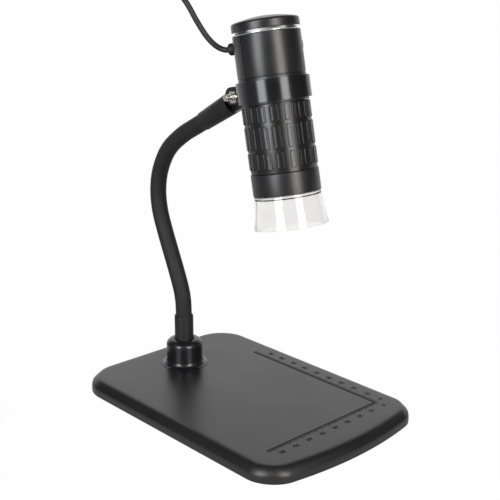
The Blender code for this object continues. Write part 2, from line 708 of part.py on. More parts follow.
def neck_link_mesh(line, start, end, ball, cup, origin):
    """One link: a round bar along the neck with a ball at its lower end and a cup at its upper end."""
    bm = bmesh.new()
    side = Vector((0, 1, 0))
    rings = []

    def ring(centre, axis, radius):
        other = axis.cross(side).normalized()
        made = []
        for i in range(NECK_SIDES):
            angle = math.tau * i / NECK_SIDES
            offset = side * (radius * math.cos(angle)) + other * (radius * math.sin(angle))
            made.append(bm.verts.new(centre + offset - origin))
        return made

    low, low_axis = at_distance(line, start)
    high, high_axis = at_distance(line, end)
    if ball:
        rings.append([bm.verts.new(low - low_axis * NECK_RADIUS - origin)])
        for i in range(1, BALL_RINGS):
            angle = math.pi / 2 * i / BALL_RINGS
            rings.append(ring(low - low_axis * NECK_RADIUS * math.cos(angle), low_axis, NECK_RADIUS * math.sin(angle)))
    else:
        rings.append([bm.verts.new(low - origin)])
    rim = math.sqrt(SOCKET_RADIUS**2 - NECK_RADIUS**2)
    straight_end = end - rim if cup else end
    for i in range(NECK_RINGS):
        share = i / NECK_RINGS
        centre, axis = at_distance(line, start + (straight_end - start) * share)
        rings.append(ring(centre, axis, NECK_RADIUS))
    if cup:
        rim_angle = math.asin(NECK_RADIUS / SOCKET_RADIUS)
        for i in range(BALL_RINGS):
            angle = rim_angle * (1 - i / BALL_RINGS)
            centre = high - high_axis * SOCKET_RADIUS * math.cos(angle)
            rings.append(ring(centre, high_axis, SOCKET_RADIUS * math.sin(angle)))
        rings.append([bm.verts.new(high - high_axis * SOCKET_RADIUS - origin)])
    else:
        rings.append(ring(high, high_axis, NECK_RADIUS))
        rings.append([bm.verts.new(high - origin)])
    bridge_rings(bm, rings)
    return bm


def make_neck(stand):
    """The chain of links, each on an empty at its pivot; gives back the last empty."""
    line = neck_line()
    stops = neck_distances(line)
    holder = stand
    for index in range(NECK_LINKS):
        start, end = stops[index], stops[index + 1]
        pivot = at_distance(line, start)[0]
        if index > 0:
            holder = empty_at(f"neck_pivot_{index}", pivot, holder)
            print(f"neck_pivot_{index}", [round(v, 6) for v in pivot], [round(v, 6) for v in at_distance(line, start)[1]])
        origin = pivot if index > 0 else Vector((0, 0, 0))
        link = neck_link_mesh(line, start, end, index > 0, index < NECK_LINKS - 1, origin)
        add_piece(f"neck_link_{index + 1}", link, SLEEVE_RUBBER, holder)
    return holder


def along_sleeve(holder):
    """The turn and place that lay Z along the upper sleeve, with the bolt at zero, seen from a pivot."""
    turn = Matrix.Rotation(math.pi / 2 - UPPER_SLEEVE_ANGLE, 4, "Y")
    return Matrix.Translation(BOLT - holder.matrix_world.translation) @ turn


def make_neck_end(holder):
    """The upper sleeve and the flat lug that the clamp's ears hold."""
    place = along_sleeve(holder)
    bore = NECK_RADIUS + CLEARANCE
    profile = (
        (bore, -UPPER_SLEEVE_START),
        (UPPER_SLEEVE_RADIUS, -UPPER_SLEEVE_START),
        (UPPER_SLEEVE_RADIUS + UPPER_SLEEVE_FLARE, -UPPER_SLEEVE_END),
        (bore, -UPPER_SLEEVE_END),
    )
    sleeve = add_piece("upper_sleeve", turned_mesh(profile, SMALL_SIDES, loop=True), SLEEVE_RUBBER, holder)
    sleeve.matrix_local = place
    stem_end = -LUG_STEM_LENGTH - UPPER_SLEEVE_END + CLEARANCE
    stem_top = -UPPER_SLEEVE_END
    stem_profile = ((0, stem_end), (NECK_RADIUS, stem_end), (NECK_RADIUS, stem_top), (0, stem_top))
    lug = add_piece("neck_end_lug", turned_mesh(stem_profile, SMALL_SIDES), GLOSS_PLASTIC, holder)
    lug.matrix_local = place
    tail = -UPPER_SLEEVE_END - OVERRUN
    tail_half = math.sqrt(NECK_RADIUS**2 - (LUG_THICKNESS / 2) ** 2)
    shoulder = -UPPER_SLEEVE_END + CLEARANCE
    outline = [(tail, -tail_half), (shoulder, -tail_half), (shoulder, -LUG_HALF_WIDTH)]
    for side in (-1, 1):
        for i in range(EDGE_STEPS + 1):
            angle = math.pi / 2 * i / EDGE_STEPS + (side - 1) * math.pi / 4
            x = LUG_OVERHANG - LUG_ROUND + LUG_ROUND * math.cos(angle)
            outline.append((x, side * (LUG_HALF_WIDTH - LUG_ROUND) + LUG_ROUND * math.sin(angle)))
    outline += [(shoulder, LUG_HALF_WIDTH), (shoulder, tail_half), (tail, tail_half)]
    flat = prism_mesh(outline, -LUG_THICKNESS / 2, LUG_THICKNESS / 2)
    plate = add_piece("lug_plate", flat, None, holder)
    plate.matrix_local = place @ Matrix.Rotation(-math.pi / 2, 4, "Y") @ Matrix.Rotation(-math.pi / 2, 4, "X")
    combine(lug, plate, "UNION")
    hole = prism_mesh(ring_outline(BOLT_RADIUS + CLEARANCE, SMALL_SIDES), -LUG_THICKNESS, LUG_THICKNESS)
    hole_guide = add_piece("lug_hole", hole, None, holder)
    hole_guide.matrix_local = place @ Matrix.Rotation(-math.pi / 2, 4, "X")
    combine(lug, hole_guide)


def make_clamp(holder):
    """Split ring with two ears, and its bolt and nut; gives back the clamp's empty on the bolt."""
    clamp = empty_at("clamp_pivot", BOLT, holder, Matrix.Rotation(-TILT, 4, "Y"))
    centre = Matrix.Translation((EAR_REACH, 0, BOLT_DROP))
    inner = BARREL_RADIUS + CLEARANCE
    outer = inner + RING_WALL
    half = RING_HEIGHT / 2
    ear_inside = LUG_THICKNESS / 2 + CLEARANCE
    ear_outside = ear_inside + EAR_THICKNESS
    slot = math.asin((ear_inside + CLEARANCE) / inner)
    profile = ((inner, -half), (outer, -half), (outer, half), (inner, half))
    ring_mesh = part_turned_mesh(profile, -math.pi + slot, math.pi - slot, ROUND_SIDES)
    ring_mesh.transform(centre)
    ring = add_piece("clamp_ring", ring_mesh, GLOSS_PLASTIC, clamp)
    ear_root = EAR_REACH - inner - CLEARANCE
    round_end = half - EAR_SET_BACK
    outline = [(ear_root, BOLT_DROP + round_end)]
    for i in range(SMALL_SIDES + 1):
        angle = math.pi / 2 + math.pi * i / SMALL_SIDES
        outline.append((round_end * math.cos(angle) - EAR_OVERHANG, round_end * math.sin(angle) + BOLT_DROP))
    outline.append((ear_root, BOLT_DROP - round_end))
    upright = Matrix.Rotation(math.pi / 2, 4, "X")
    ears = bmesh.new()
    prism_mesh(outline, ear_inside, ear_outside, ears, upright)
    prism_mesh(outline, -ear_outside, -ear_inside, ears, upright)
    combine(ring, add_piece("clamp_ears", ears, None, clamp), "UNION")
    hole = prism_mesh(
        ring_outline(BOLT_RADIUS + CLEARANCE, SMALL_SIDES), -ear_outside - OVERRUN, ear_outside + OVERRUN, place=upright
    )
    combine(ring, add_piece("ear_holes", hole, None, clamp))
    head_seat = ear_outside + CLEARANCE
    nut_end = head_seat + NUT_HEIGHT
    tip = nut_end + BOLT_TIP
    across = Matrix.Rotation(-math.pi / 2, 4, "X")
    chamfer = BOLT_RADIUS / 4
    bolt_profile = (
        (0, -tip),
        (BOLT_RADIUS - chamfer, -tip),
        (BOLT_RADIUS, -tip + chamfer),
        (BOLT_RADIUS, head_seat),
        (BOLT_HEAD_RADIUS, head_seat),
        (BOLT_HEAD_RADIUS, head_seat + BOLT_HEAD_HEIGHT - chamfer),
        (BOLT_HEAD_RADIUS - chamfer, head_seat + BOLT_HEAD_HEIGHT),
        (0, head_seat + BOLT_HEAD_HEIGHT),
    )
    bolt = add_piece("clamp_bolt", turned_mesh(bolt_profile, SMALL_SIDES, place=across), STEEL, clamp)
    socket = prism_mesh(
        hexagon(BOLT_SOCKET_FLATS),
        head_seat + BOLT_HEAD_HEIGHT - BOLT_SOCKET_DEPTH,
        head_seat + BOLT_HEAD_HEIGHT + OVERRUN,
        place=across,
    )
    combine(bolt, add_piece("bolt_socket", socket, None, clamp))
    nut = add_piece("clamp_nut", prism_mesh(hexagon(NUT_FLATS), -nut_end, -head_seat, place=across), STEEL, clamp)
    nut_bore = prism_mesh(
        ring_outline(BOLT_RADIUS + CLEARANCE, SMALL_SIDES), -nut_end - OVERRUN, -head_seat + OVERRUN, place=across
    )
    combine(nut, add_piece("clamp_nut_bore", nut_bore, None, clamp))
    return clamp


def down(station):
    """A station's height on the microscope's own axis, whose zero is the middle of the clamp ring."""
    return RING_STATION - station


def make_cap(scope):
    """Top cap with its short spigot, and the chrome ring under it."""
    rim = BARREL_RADIUS
    profile = [(0, down(-CAP_CROWN))]
    profile += [((rim - CAP_ROUND) * share, down(-CAP_CROWN * (1 - share**2))) for share in CAP_CROWN_SHARES]
    for i in range(EDGE_STEPS + 1):
        angle = math.pi / 2 * i / EDGE_STEPS
        profile.append((rim - CAP_ROUND * (1 - math.sin(angle)), down(CAP_ROUND * (1 - math.cos(angle)))))
    spigot = BARREL_BORE - CLEARANCE
    spigot_end = down(CAP_HEIGHT + CAP_SPIGOT)
    profile += [(rim, down(CAP_HEIGHT)), (spigot, down(CAP_HEIGHT)), (spigot, spigot_end), (0, spigot_end)]
    add_piece("top_cap", turned_mesh(profile), BLACK_PLASTIC, scope)
    start, end = down(CHROME_START), down(CHROME_START + CHROME_HEIGHT)
    outer = BARREL_RADIUS + CHROME_PROUD
    ring = ((BARREL_BORE, start), (outer - CHROME_PROUD, start), (outer, start - CHROME_PROUD))
    ring += ((outer, end + CHROME_PROUD), (outer - CHROME_PROUD, end), (BARREL_BORE, end))
    add_piece("chrome_ring", turned_mesh(ring, loop=True), CHROME, scope)


def radial_turn(angle, station):
    """The place on the axis at a station, turned so that Z points out of the barrel at an angle."""
    return (
        Matrix.Translation((0, 0, down(station)))
        @ Matrix.Rotation(angle, 4, "Z")
        @ Matrix.Rotation(math.pi / 2, 4, "Y")
    )


def make_barrel(scope):
    """Front shell and rear cover of the upper barrel, with their openings."""
    groove = GROOVE_WIDTH / 2
    profile = (
        (BARREL_BORE, down(BARREL_START)),
        (BARREL_RADIUS, down(BARREL_START)),
        (BARREL_RADIUS, down(GROOVE_STATION - groove)),
        (BARREL_RADIUS - groove, down(GROOVE_STATION)),
        (BARREL_RADIUS, down(GROOVE_STATION + groove)),
        (BARREL_RADIUS, down(BARREL_END)),
        (BARREL_BORE, down(BARREL_END)),
    )
    slit = CLEARANCE / 2 / BARREL_BORE
    half_turn = ROUND_SIDES // 2
    front_mesh = part_turned_mesh(profile, SEAM_ANGLE + slit, SEAM_ANGLE + math.pi - slit, half_turn)
    front = add_piece("barrel_front_shell", front_mesh, BLACK_PLASTIC, scope)
    rear_mesh = part_turned_mesh(profile, SEAM_ANGLE + math.pi + slit, SEAM_ANGLE + math.tau - slit, half_turn)
    rear = add_piece("barrel_rear_cover", rear_mesh, BLACK_PLASTIC, scope)
    inside = BARREL_BORE - OVERRUN * 2
    outside = BARREL_RADIUS + OVERRUN * 2
    hole = prism_mesh(ring_outline(GROMMET_RADIUS + CLEARANCE, SMALL_SIDES), inside, outside)
    guide = add_piece("grommet_hole", hole, None, scope)
    guide.matrix_local = radial_turn(GROMMET_ANGLE, GROMMET_STATION)
    combine(rear, guide)
    hole = prism_mesh(ring_outline(BUTTON_RADIUS + CLEARANCE, SMALL_SIDES), inside, outside)
    guide = add_piece("button_hole", hole, None, scope)
    guide.matrix_local = radial_turn(CONTROLS_ANGLE, BUTTON_STATION)
    combine(front, guide)
    wheel_middle = BARREL_RADIUS + WHEEL_PROUD - WHEEL_RADIUS
    half_chord = math.sqrt(WHEEL_RADIUS**2 - (BARREL_BORE - wheel_middle) ** 2) + 2 * CLEARANCE
    slot = prism_mesh(box_outline(WHEEL_THICKNESS + 2 * CLEARANCE, 2 * half_chord), inside, outside)
    guide = add_piece("wheel_slot", slot, None, scope)
    guide.matrix_local = radial_turn(CONTROLS_ANGLE, WHEEL_STATION)
    combine(front, guide)


def make_grommet(scope):
    """Rubber grommet that carries the cable out of the rear cover."""
    flange_top = math.sqrt(BARREL_BORE**2 - GROMMET_FLANGE_RADIUS**2) - CLEARANCE
    flange_foot = flange_top - GROMMET_FLANGE
    tip = BARREL_RADIUS + GROMMET_PROUD
    curl = GROMMET_RADIUS - GROMMET_TIP_RADIUS
    profile = [(0, flange_foot), (GROMMET_FLANGE_RADIUS, flange_foot), (GROMMET_FLANGE_RADIUS, flange_top)]
    profile.append((GROMMET_RADIUS, flange_top))
    for i in range(EDGE_STEPS):
        angle = math.pi / 2 * i / (EDGE_STEPS - 1)
        profile.append((GROMMET_TIP_RADIUS + curl * math.cos(angle), tip - curl + curl * math.sin(angle)))
    profile.append((0, tip))
    grommet = add_piece("cable_grommet", turned_mesh(profile, SMALL_SIDES), SLEEVE_RUBBER, scope)
    grommet.matrix_local = radial_turn(GROMMET_ANGLE, GROMMET_STATION)


def make_controls(scope):
    """Snapshot button, dimmer wheel and the potentiometer that the wheel turns."""
    button_home = empty_at("button_axis", (0, 0, 0))
    button_home.parent = scope
    button_home.matrix_local = radial_turn(CONTROLS_ANGLE, BUTTON_STATION)
    board_top = BOARD_OFFSET + BOARD_THICKNESS
    stem_foot = board_top + SWITCH_HEIGHT + BUTTON_TRAVEL + CLEARANCE
    flange_top = math.sqrt(BARREL_BORE**2 - BUTTON_FLANGE_RADIUS**2) - CLEARANCE
    flange_foot = flange_top - BUTTON_FLANGE
    face = BARREL_RADIUS + BUTTON_PROUD
    edge = BUTTON_RADIUS / 8
    profile = (
        (0, stem_foot),
        (BUTTON_STEM_RADIUS, stem_foot),
        (BUTTON_STEM_RADIUS, flange_foot),
        (BUTTON_FLANGE_RADIUS, flange_foot),
        (BUTTON_FLANGE_RADIUS, flange_top),
        (BUTTON_RADIUS, flange_top),
        (BUTTON_RADIUS, face - edge),
        (BUTTON_RADIUS - edge, face),
        (0, face - edge / 2),
    )
    add_piece("snapshot_button", turned_mesh(profile, SMALL_SIDES), GLOSS_PLASTIC, button_home)
    wheel_middle = BARREL_RADIUS + WHEEL_PROUD - WHEEL_RADIUS
    wheel_home = empty_at("wheel_axis", (0, 0, 0))
    wheel_home.parent = scope
    wheel_place = Matrix.Rotation(CONTROLS_ANGLE, 4, "Z")
    wheel_place @= Matrix.Translation((wheel_middle, 0, down(WHEEL_STATION)))
    wheel_home.matrix_local = wheel_place
    rim = []
    for i in range(2 * WHEEL_TEETH):
        angle = math.tau * i / (2 * WHEEL_TEETH)
        radius = WHEEL_RADIUS - (WHEEL_TOOTH if i % 2 else 0)
        rim.append((radius * math.cos(angle), radius * math.sin(angle)))
    wheel = add_piece(
        "dimmer_wheel", prism_mesh(rim, -WHEEL_THICKNESS / 2, WHEEL_THICKNESS / 2), SLEEVE_RUBBER, wheel_home
    )
    bore = prism_mesh(ring_outline(WHEEL_BORE, SMALL_SIDES), -WHEEL_THICKNESS, WHEEL_THICKNESS)
    combine(wheel, add_piece("wheel_bore", bore, None, wheel_home))
    block_top = -WHEEL_THICKNESS / 2 - CLEARANCE
    low = board_top + CLEARANCE - wheel_middle
    high = POT_SIDE / 2
    outline = [(low, -POT_SIDE / 2), (high, -POT_SIDE / 2), (high, POT_SIDE / 2), (low, POT_SIDE / 2)]
    pot = add_piece("dimmer_pot", prism_mesh(outline, block_top - POT_HEIGHT, block_top), GREEN_BOARD, scope)
    pot.matrix_local = wheel_place
    shaft_radius = WHEEL_BORE - CLEARANCE
    shaft = prism_mesh(ring_outline(shaft_radius, SCREW_SIDES), block_top - POT_HEIGHT / 2, WHEEL_THICKNESS / 2)
    shaft_guide = add_piece("pot_shaft", shaft, None, scope)
    shaft_guide.matrix_local = wheel_place
    combine(pot, shaft_guide, "UNION")


def make_boards(scope):
    """Main board with its switch, sensor board with its chip, and LED board with its LEDs."""
    top = BOARD_OFFSET + BOARD_THICKNESS
    half_width = math.sqrt(BARREL_BORE**2 - top**2) - CLEARANCE
    length = BOARD_END - BOARD_START
    board_place = radial_turn(CONTROLS_ANGLE, (BOARD_START + BOARD_END) / 2)
    board = add_piece(
        "main_board", prism_mesh(box_outline(length, 2 * half_width), BOARD_OFFSET, top), GREEN_BOARD, scope
    )
    board.matrix_local = board_place
    switch = prism_mesh(box_outline(SWITCH_SIDE, SWITCH_SIDE), top - BOARD_THICKNESS / 2, top + SWITCH_HEIGHT)
    guide = add_piece("switch_block", switch, None, scope)
    guide.matrix_local = radial_turn(CONTROLS_ANGLE, BUTTON_STATION)
    combine(board, guide, "UNION")
    tube_bore = TUBE_RADIUS - TUBE_WALL
    disc_radius = tube_bore - CLEARANCE
    high, low = down(SENSOR_STATION), down(SENSOR_STATION + BOARD_THICKNESS)
    disc = add_piece("sensor_board", prism_mesh(ring_outline(disc_radius, INNER_SIDES), low, high), GREEN_BOARD, scope)
    chip = prism_mesh(box_outline(SENSOR_SIDE, SENSOR_SIDE), low - SENSOR_HEIGHT, high - BOARD_THICKNESS / 2)
    combine(disc, add_piece("sensor_chip", chip, None, scope), "UNION")
    high, low = down(LED_BOARD_STATION), down(LED_BOARD_STATION + BOARD_THICKNESS)
    ring = ((LED_BOARD_HOLE, high), (disc_radius, high), (disc_radius, low), (LED_BOARD_HOLE, low))
    led_board = add_piece("led_board", turned_mesh(ring, INNER_SIDES, loop=True), WHITE_BOARD, scope)
    leds = bmesh.new()
    circle = (LED_BOARD_HOLE + disc_radius) / 2
    lit = (
        (0, low + BOARD_THICKNESS / 2),
        (LED_RADIUS, low + BOARD_THICKNESS / 2),
        (LED_RADIUS, low - LED_HEIGHT + LED_RADIUS),
        (LED_RADIUS * math.cos(math.pi / 4), low - LED_HEIGHT + LED_RADIUS * (1 - math.sin(math.pi / 4))),
        (0, low - LED_HEIGHT),
    )
    for i in range(LED_COUNT):
        angle = math.tau * i / LED_COUNT
        place = Matrix.Translation((circle * math.cos(angle), circle * math.sin(angle), 0))
        turned_mesh(lit, SCREW_SIDES, bm=leds, place=place)
    combine(led_board, add_piece("led_domes", leds, None, scope), "UNION")


def grip_mesh():
    """The focus ring: a tube whose outside carries rows of ribs."""
    bm = bmesh.new()
    count = 3 * GRIP_RIBS
    length = GRIP_END - GRIP_START

    def ring(station, ribbed):
        made = []
        for i in range(count):
            angle = math.tau * i / count
            radius = GRIP_BODY_RADIUS + (GRIP_RIB_PROUD if ribbed and i % 3 else 0)
            made.append(bm.verts.new((radius * math.cos(angle), radius * math.sin(angle), down(station))))
        return made

    rings = [ring(GRIP_START, False)]
    for start_share, end_share in GRIP_ROW_SHARES:
        start, end = GRIP_START + length * start_share, GRIP_START + length * end_share
        rings.append(ring(start, False))
        rings.append(ring(start + GRIP_RIB_RAMP, True))
        rings.append(ring(end - GRIP_RIB_RAMP, True))
        rings.append(ring(end, False))
    rings.append(ring(GRIP_END, False))
    bore = TUBE_RADIUS + CLEARANCE
    for station in (GRIP_END, GRIP_START):
        made = []
        for i in range(count):
            angle = math.tau * i / count
            made.append(bm.verts.new((bore * math.cos(angle), bore * math.sin(angle), down(station))))
        rings.append(made)
    rings.append(rings[0])
    bridge_rings(bm, rings)
    return bm


def make_optics(scope):
    """Inner tube, focus ring, lens carriage with its lens, front ring and clear hood."""
    tube_bore = TUBE_RADIUS - TUBE_WALL
    flange = BARREL_BORE - CLEARANCE
    flange_end = down(TUBE_TOP + TUBE_FLANGE)
    tube = (
        (tube_bore, down(TUBE_TOP)),
        (flange, down(TUBE_TOP)),
        (flange, flange_end),
        (TUBE_RADIUS, flange_end),
        (TUBE_RADIUS, down(TUBE_END)),
        (tube_bore, down(TUBE_END)),
    )
    add_piece("inner_tube", turned_mesh(tube, loop=True), BLACK_PLASTIC, scope)
    add_piece("focus_ring", grip_mesh(), BLACK_PLASTIC, scope)
    flange_radius = tube_bore - CLEARANCE
    seat = LENS_RADIUS + CLEARANCE
    seat_start = down(CARRIAGE_END - LENS_THICKNESS - 2 * CLEARANCE)
    flange_low = down(CARRIAGE_FLANGE_START + CARRIAGE_FLANGE)
    carriage = (
        (CARRIAGE_BORE, down(CARRIAGE_START)),
        (CARRIAGE_RADIUS, down(CARRIAGE_START)),
        (CARRIAGE_RADIUS, down(CARRIAGE_FLANGE_START)),
        (flange_radius, down(CARRIAGE_FLANGE_START)),
        (flange_radius, flange_low),
        (CARRIAGE_RADIUS, flange_low),
        (CARRIAGE_RADIUS, down(CARRIAGE_END)),
        (seat, down(CARRIAGE_END)),
        (seat, seat_start),
        (CARRIAGE_BORE, seat_start),
    )
    add_piece("lens_carriage", turned_mesh(carriage, INNER_SIDES, loop=True), BLACK_PLASTIC, scope)
    lens_top = seat_start - CLEARANCE
    sag = LENS_THICKNESS / 4
    lens = (
        (0, lens_top),
        (LENS_RADIUS, lens_top),
        (LENS_RADIUS, lens_top - LENS_THICKNESS + sag),
        (LENS_RADIUS / 2, lens_top - LENS_THICKNESS + sag / 4),
        (0, lens_top - LENS_THICKNESS),
    )
    add_piece("objective_lens", turned_mesh(lens, SMALL_SIDES), LENS_GLASS, scope)
    bore = TUBE_RADIUS + CLEARANCE
    start, end = down(FRONT_RING_START), down(FRONT_RING_END)
    edge = (FRONT_RING_RADIUS - GRIP_BODY_RADIUS) / 2
    ring = ((bore, start), (FRONT_RING_RADIUS - edge, start), (FRONT_RING_RADIUS, start - edge))
    ring += ((FRONT_RING_RADIUS, end), (bore, end))
    add_piece("front_ring", turned_mesh(ring, loop=True), BLACK_PLASTIC, scope)
    waist = HOOD_START + (HOOD_END - HOOD_START) * HOOD_WAIST_SHARE
    spigot_top = down(HOOD_START - HOOD_SPIGOT_LENGTH)
    step = down(HOOD_START + HOOD_WALL)
    hood = (
        (TUBE_RADIUS - HOOD_WALL, spigot_top),
        (TUBE_RADIUS, spigot_top),
        (TUBE_RADIUS, down(HOOD_START)),
        (HOOD_TOP_RADIUS, down(HOOD_START)),
        (HOOD_WAIST_RADIUS, down(waist)),
        (HOOD_RIM_RADIUS, down(HOOD_END)),
        (HOOD_RIM_RADIUS - HOOD_WALL, down(HOOD_END)),
        (HOOD_WAIST_RADIUS - HOOD_WALL, down(waist)),
        (HOOD_TOP_RADIUS - HOOD_WALL, step),
        (TUBE_RADIUS - HOOD_WALL, step),
    )
    add_piece("clear_hood", turned_mesh(hood, loop=True), CLEAR_PLASTIC, scope)


def make_microscope(clamp):
    """Everything that the clamp ring holds, on an empty in the middle of the ring."""
    scope = empty_at("microscope_axis", RING_CENTRE, clamp, Matrix.Rotation(-TILT, 4, "Y"))
    make_cap(scope)
    make_barrel(scope)
    make_grommet(scope)
    make_controls(scope)
    make_boards(scope)
    make_optics(scope)
    return scope


def tube_curve(name, points, radius, resolution, finish):
    """A round tube with closed ends through a line of points."""
    curve = bpy.data.curves.new(name, "CURVE")
    curve.dimensions = "3D"
    curve.bevel_depth = radius
    curve.bevel_resolution = resolution
    curve.render_resolution_u = 0
    curve.use_fill_caps = True
    spline = curve.splines.new("POLY")
    spline.points.add(len(points) - 1)
    for knot, point in zip(spline.points, points):
        knot.co = (*point, 1)
    spline.use_smooth = True
    curve.materials.append(material_of(finish))
    tube = bpy.data.objects.new(name, curve)
    bpy.context.collection.objects.link(tube)
    return tube


def coil_points():
    """The coil's centre line: layers that spiral in and out, with straight ends."""
    per_layer = COIL_TURNS / COIL_LAYERS
    width = per_layer * COIL_STEP
    outer = COIL_MEAN_RADIUS + width / 2
    count = int(round(COIL_TURNS * COIL_POINTS_PER_TURN))
    floor = CABLE_DIAMETER / 2 + CLEARANCE / 3
    points = []
    for i in range(count + 1):
        turn = COIL_TURNS * i / count
        layer = min(int(turn / per_layer), COIL_LAYERS - 1)
        inwards = turn - layer * per_layer
        radius = outer - COIL_STEP * inwards if layer % 2 == 0 else outer - width + COIL_STEP * inwards
        climbed = 0.0
        for change in range(1, COIL_LAYERS):
            share = min(max((turn - change * per_layer) / 0.5 + 0.5, 0.0), 1.0)
            climbed += share * share * (3 - 2 * share)
        angle = math.pi + math.tau * turn
        height = floor + COIL_STEP * climbed
        points.append(
            Vector((COIL_CENTRE[0] + radius * math.cos(angle), COIL_CENTRE[1] + radius * math.sin(angle), height))
        )
    return points


def least_gap(points, diameter):
    """The least gap between a tube's stretches that lie apart along it."""
    fine = []
    for a, b in zip(points, points[1:]):
        fine += [a, a.lerp(b, 0.5)]
    walked = [0.0]
    for a, b in zip(fine, fine[1:]):
        walked.append(walked[-1] + (b - a).length)
    least = math.inf
    for i, a in enumerate(fine):
        for j in range(i + 1, len(fine)):
            if walked[j] - walked[i] > 4 * diameter:
                least = min(least, (fine[j] - a).length)
    return least - diameter


def make_cable(scope):
    """The free stretch, the coil and the plug at its end."""
    bpy.context.view_layer.update()
    out = scope.matrix_world @ radial_turn(GROMMET_ANGLE, GROMMET_STATION)
    exit_height = BARREL_RADIUS + GROMMET_PROUD + CLEARANCE
    exit_point = out @ Vector((0, 0, exit_height))
    exit_straight = out @ Vector((0, 0, exit_height + CABLE_DIAMETER))
    coil = coil_points()
    lead = (coil[0] - coil[1]).normalized()
    lead.z = 0
    coil_start = coil[0] + lead * CABLE_DIAMETER
    meet = coil_start + lead * CLEARANCE
    route = [exit_straight, *[Vector(p) for p in CABLE_ROUTE], meet + lead * CABLE_DIAMETER]
    free = [exit_point, *smooth_line(route, CABLE_STEPS), meet]
    tube_curve("usb_cable", free, CABLE_DIAMETER / 2, 2, CABLE_RUBBER)
    plug_height = PLUG_THICKNESS / 2 + CLEARANCE / 3
    away = (coil[-1] - coil[-2]).normalized()
    away.z = 0
    relief_x = coil[-1].x + PLUG_REACH
    plug_y = coil[-1].y + PLUG_SIDE_STEP
    run = [coil[-1], coil[-1] + away * CABLE_DIAMETER]
    run += [coil[-1] + Vector(step) for step in PLUG_ROUTE]
    run.append(Vector((relief_x - CABLE_DIAMETER, plug_y, plug_height)))
    run.append(Vector((relief_x, plug_y, plug_height)))
    tail = smooth_line(run, PLUG_STEPS)
    whole = [coil_start, *coil, *tail[1:]]
    tube_curve("cable_coil", whole, CABLE_DIAMETER / 2, 1, CABLE_RUBBER)
    total = line_length(free) + line_length(whole)
    print(f"cable: free stretch {line_length(free):.4f} m, coil and lead {line_length(whole):.4f} m, in all {total:.4f} m")
    print(f"coil: least gap to itself {least_gap(whole, CABLE_DIAMETER) / MM:.3f} mm")
    make_plug(Vector((relief_x + CLEARANCE, plug_y, plug_height)))


def make_plug(place):
    """The plug's moulded body with its strain relief, and its metal shell."""
    home = empty_at("plug_place", place, turn=Matrix.Rotation(math.pi / 2, 4, "Y"))
    neck = CABLE_DIAMETER / 2 + CLEARANCE
    relief = ((0, 0), (neck, 0), (neck + 2 * CLEARANCE, PLUG_RELIEF), (neck + 2 * CLEARANCE, PLUG_RELIEF + OVERRUN))
    relief += ((0, PLUG_RELIEF + OVERRUN),)
    body_end = PLUG_RELIEF + PLUG_LENGTH
    outline = rounded_outline(PLUG_THICKNESS, PLUG_WIDTH, PLUG_ROUND)
    body = add_piece("usb_plug_body", prism_mesh(outline, PLUG_RELIEF, body_end), CABLE_RUBBER, home)
    combine(body, add_piece("plug_relief", turned_mesh(relief, SMALL_SIDES), None, home), "UNION")
    shell_start = body_end + CLEARANCE
    shell_end = shell_start + SHELL_LENGTH
    shell = add_piece(
        "usb_plug_shell", prism_mesh(box_outline(SHELL_THICKNESS, SHELL_WIDTH), shell_start, shell_end), STEEL, home
    )
    mouth = [
        (SHELL_WALL + SHELL_TONGUE - SHELL_THICKNESS / 2, SHELL_WALL - SHELL_WIDTH / 2),
        (SHELL_THICKNESS / 2 - SHELL_WALL, SHELL_WALL - SHELL_WIDTH / 2),
        (SHELL_THICKNESS / 2 - SHELL_WALL, SHELL_WIDTH / 2 - SHELL_WALL),
        (SHELL_WALL + SHELL_TONGUE - SHELL_THICKNESS / 2, SHELL_WIDTH / 2 - SHELL_WALL),
    ]
    guide = add_piece("shell_mouth", prism_mesh(mouth, shell_end - SHELL_MOUTH, shell_end + OVERRUN), None, home)
    combine(shell, guide)


def main():
    """Build the whole object."""
    clear_scene()
    stand = empty_at("stand", (0, 0, 0))
    make_base(stand)
    make_collar(stand)
    neck_end = make_neck(stand)
    make_neck_end(neck_end)
    clamp = make_clamp(neck_end)
    scope = make_microscope(clamp)
    make_cable(scope)
    bpy.context.view_layer.update()


main()
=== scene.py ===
"""A USB digital microscope on a gooseneck stand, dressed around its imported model.

Metres, +Z up. The base lies on the table, the neck rises from a collar at its rear, and a split clamp
holds the barrel over the ruled front half. The cable leaves the barrel, arches over and ends in a coil.
"""

import json
import logging
import math
from collections.abc import Callable, Sequence
from dataclasses import dataclass, field
from enum import Enum

import bmesh
import bpy
from mathutils import Matrix, Vector


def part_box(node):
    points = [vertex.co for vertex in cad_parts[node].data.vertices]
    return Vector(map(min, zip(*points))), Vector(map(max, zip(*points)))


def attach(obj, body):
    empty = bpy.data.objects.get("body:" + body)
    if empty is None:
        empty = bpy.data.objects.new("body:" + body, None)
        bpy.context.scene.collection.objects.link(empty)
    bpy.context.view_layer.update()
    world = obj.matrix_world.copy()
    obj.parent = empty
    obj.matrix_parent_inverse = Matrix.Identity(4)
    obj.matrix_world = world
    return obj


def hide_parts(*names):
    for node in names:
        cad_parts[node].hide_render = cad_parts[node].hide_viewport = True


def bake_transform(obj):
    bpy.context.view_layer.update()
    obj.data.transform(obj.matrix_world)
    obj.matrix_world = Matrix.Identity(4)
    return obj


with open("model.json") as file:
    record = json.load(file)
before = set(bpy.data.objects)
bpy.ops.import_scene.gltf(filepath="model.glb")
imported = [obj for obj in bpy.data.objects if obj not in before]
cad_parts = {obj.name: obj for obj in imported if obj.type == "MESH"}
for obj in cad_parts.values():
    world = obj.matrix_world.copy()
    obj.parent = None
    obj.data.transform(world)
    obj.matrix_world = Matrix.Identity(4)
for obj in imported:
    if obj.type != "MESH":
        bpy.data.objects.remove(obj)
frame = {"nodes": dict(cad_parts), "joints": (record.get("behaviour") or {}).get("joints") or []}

LOG = logging.getLogger("microscope")
MM = 0.001
Triple = tuple[float, float, float]
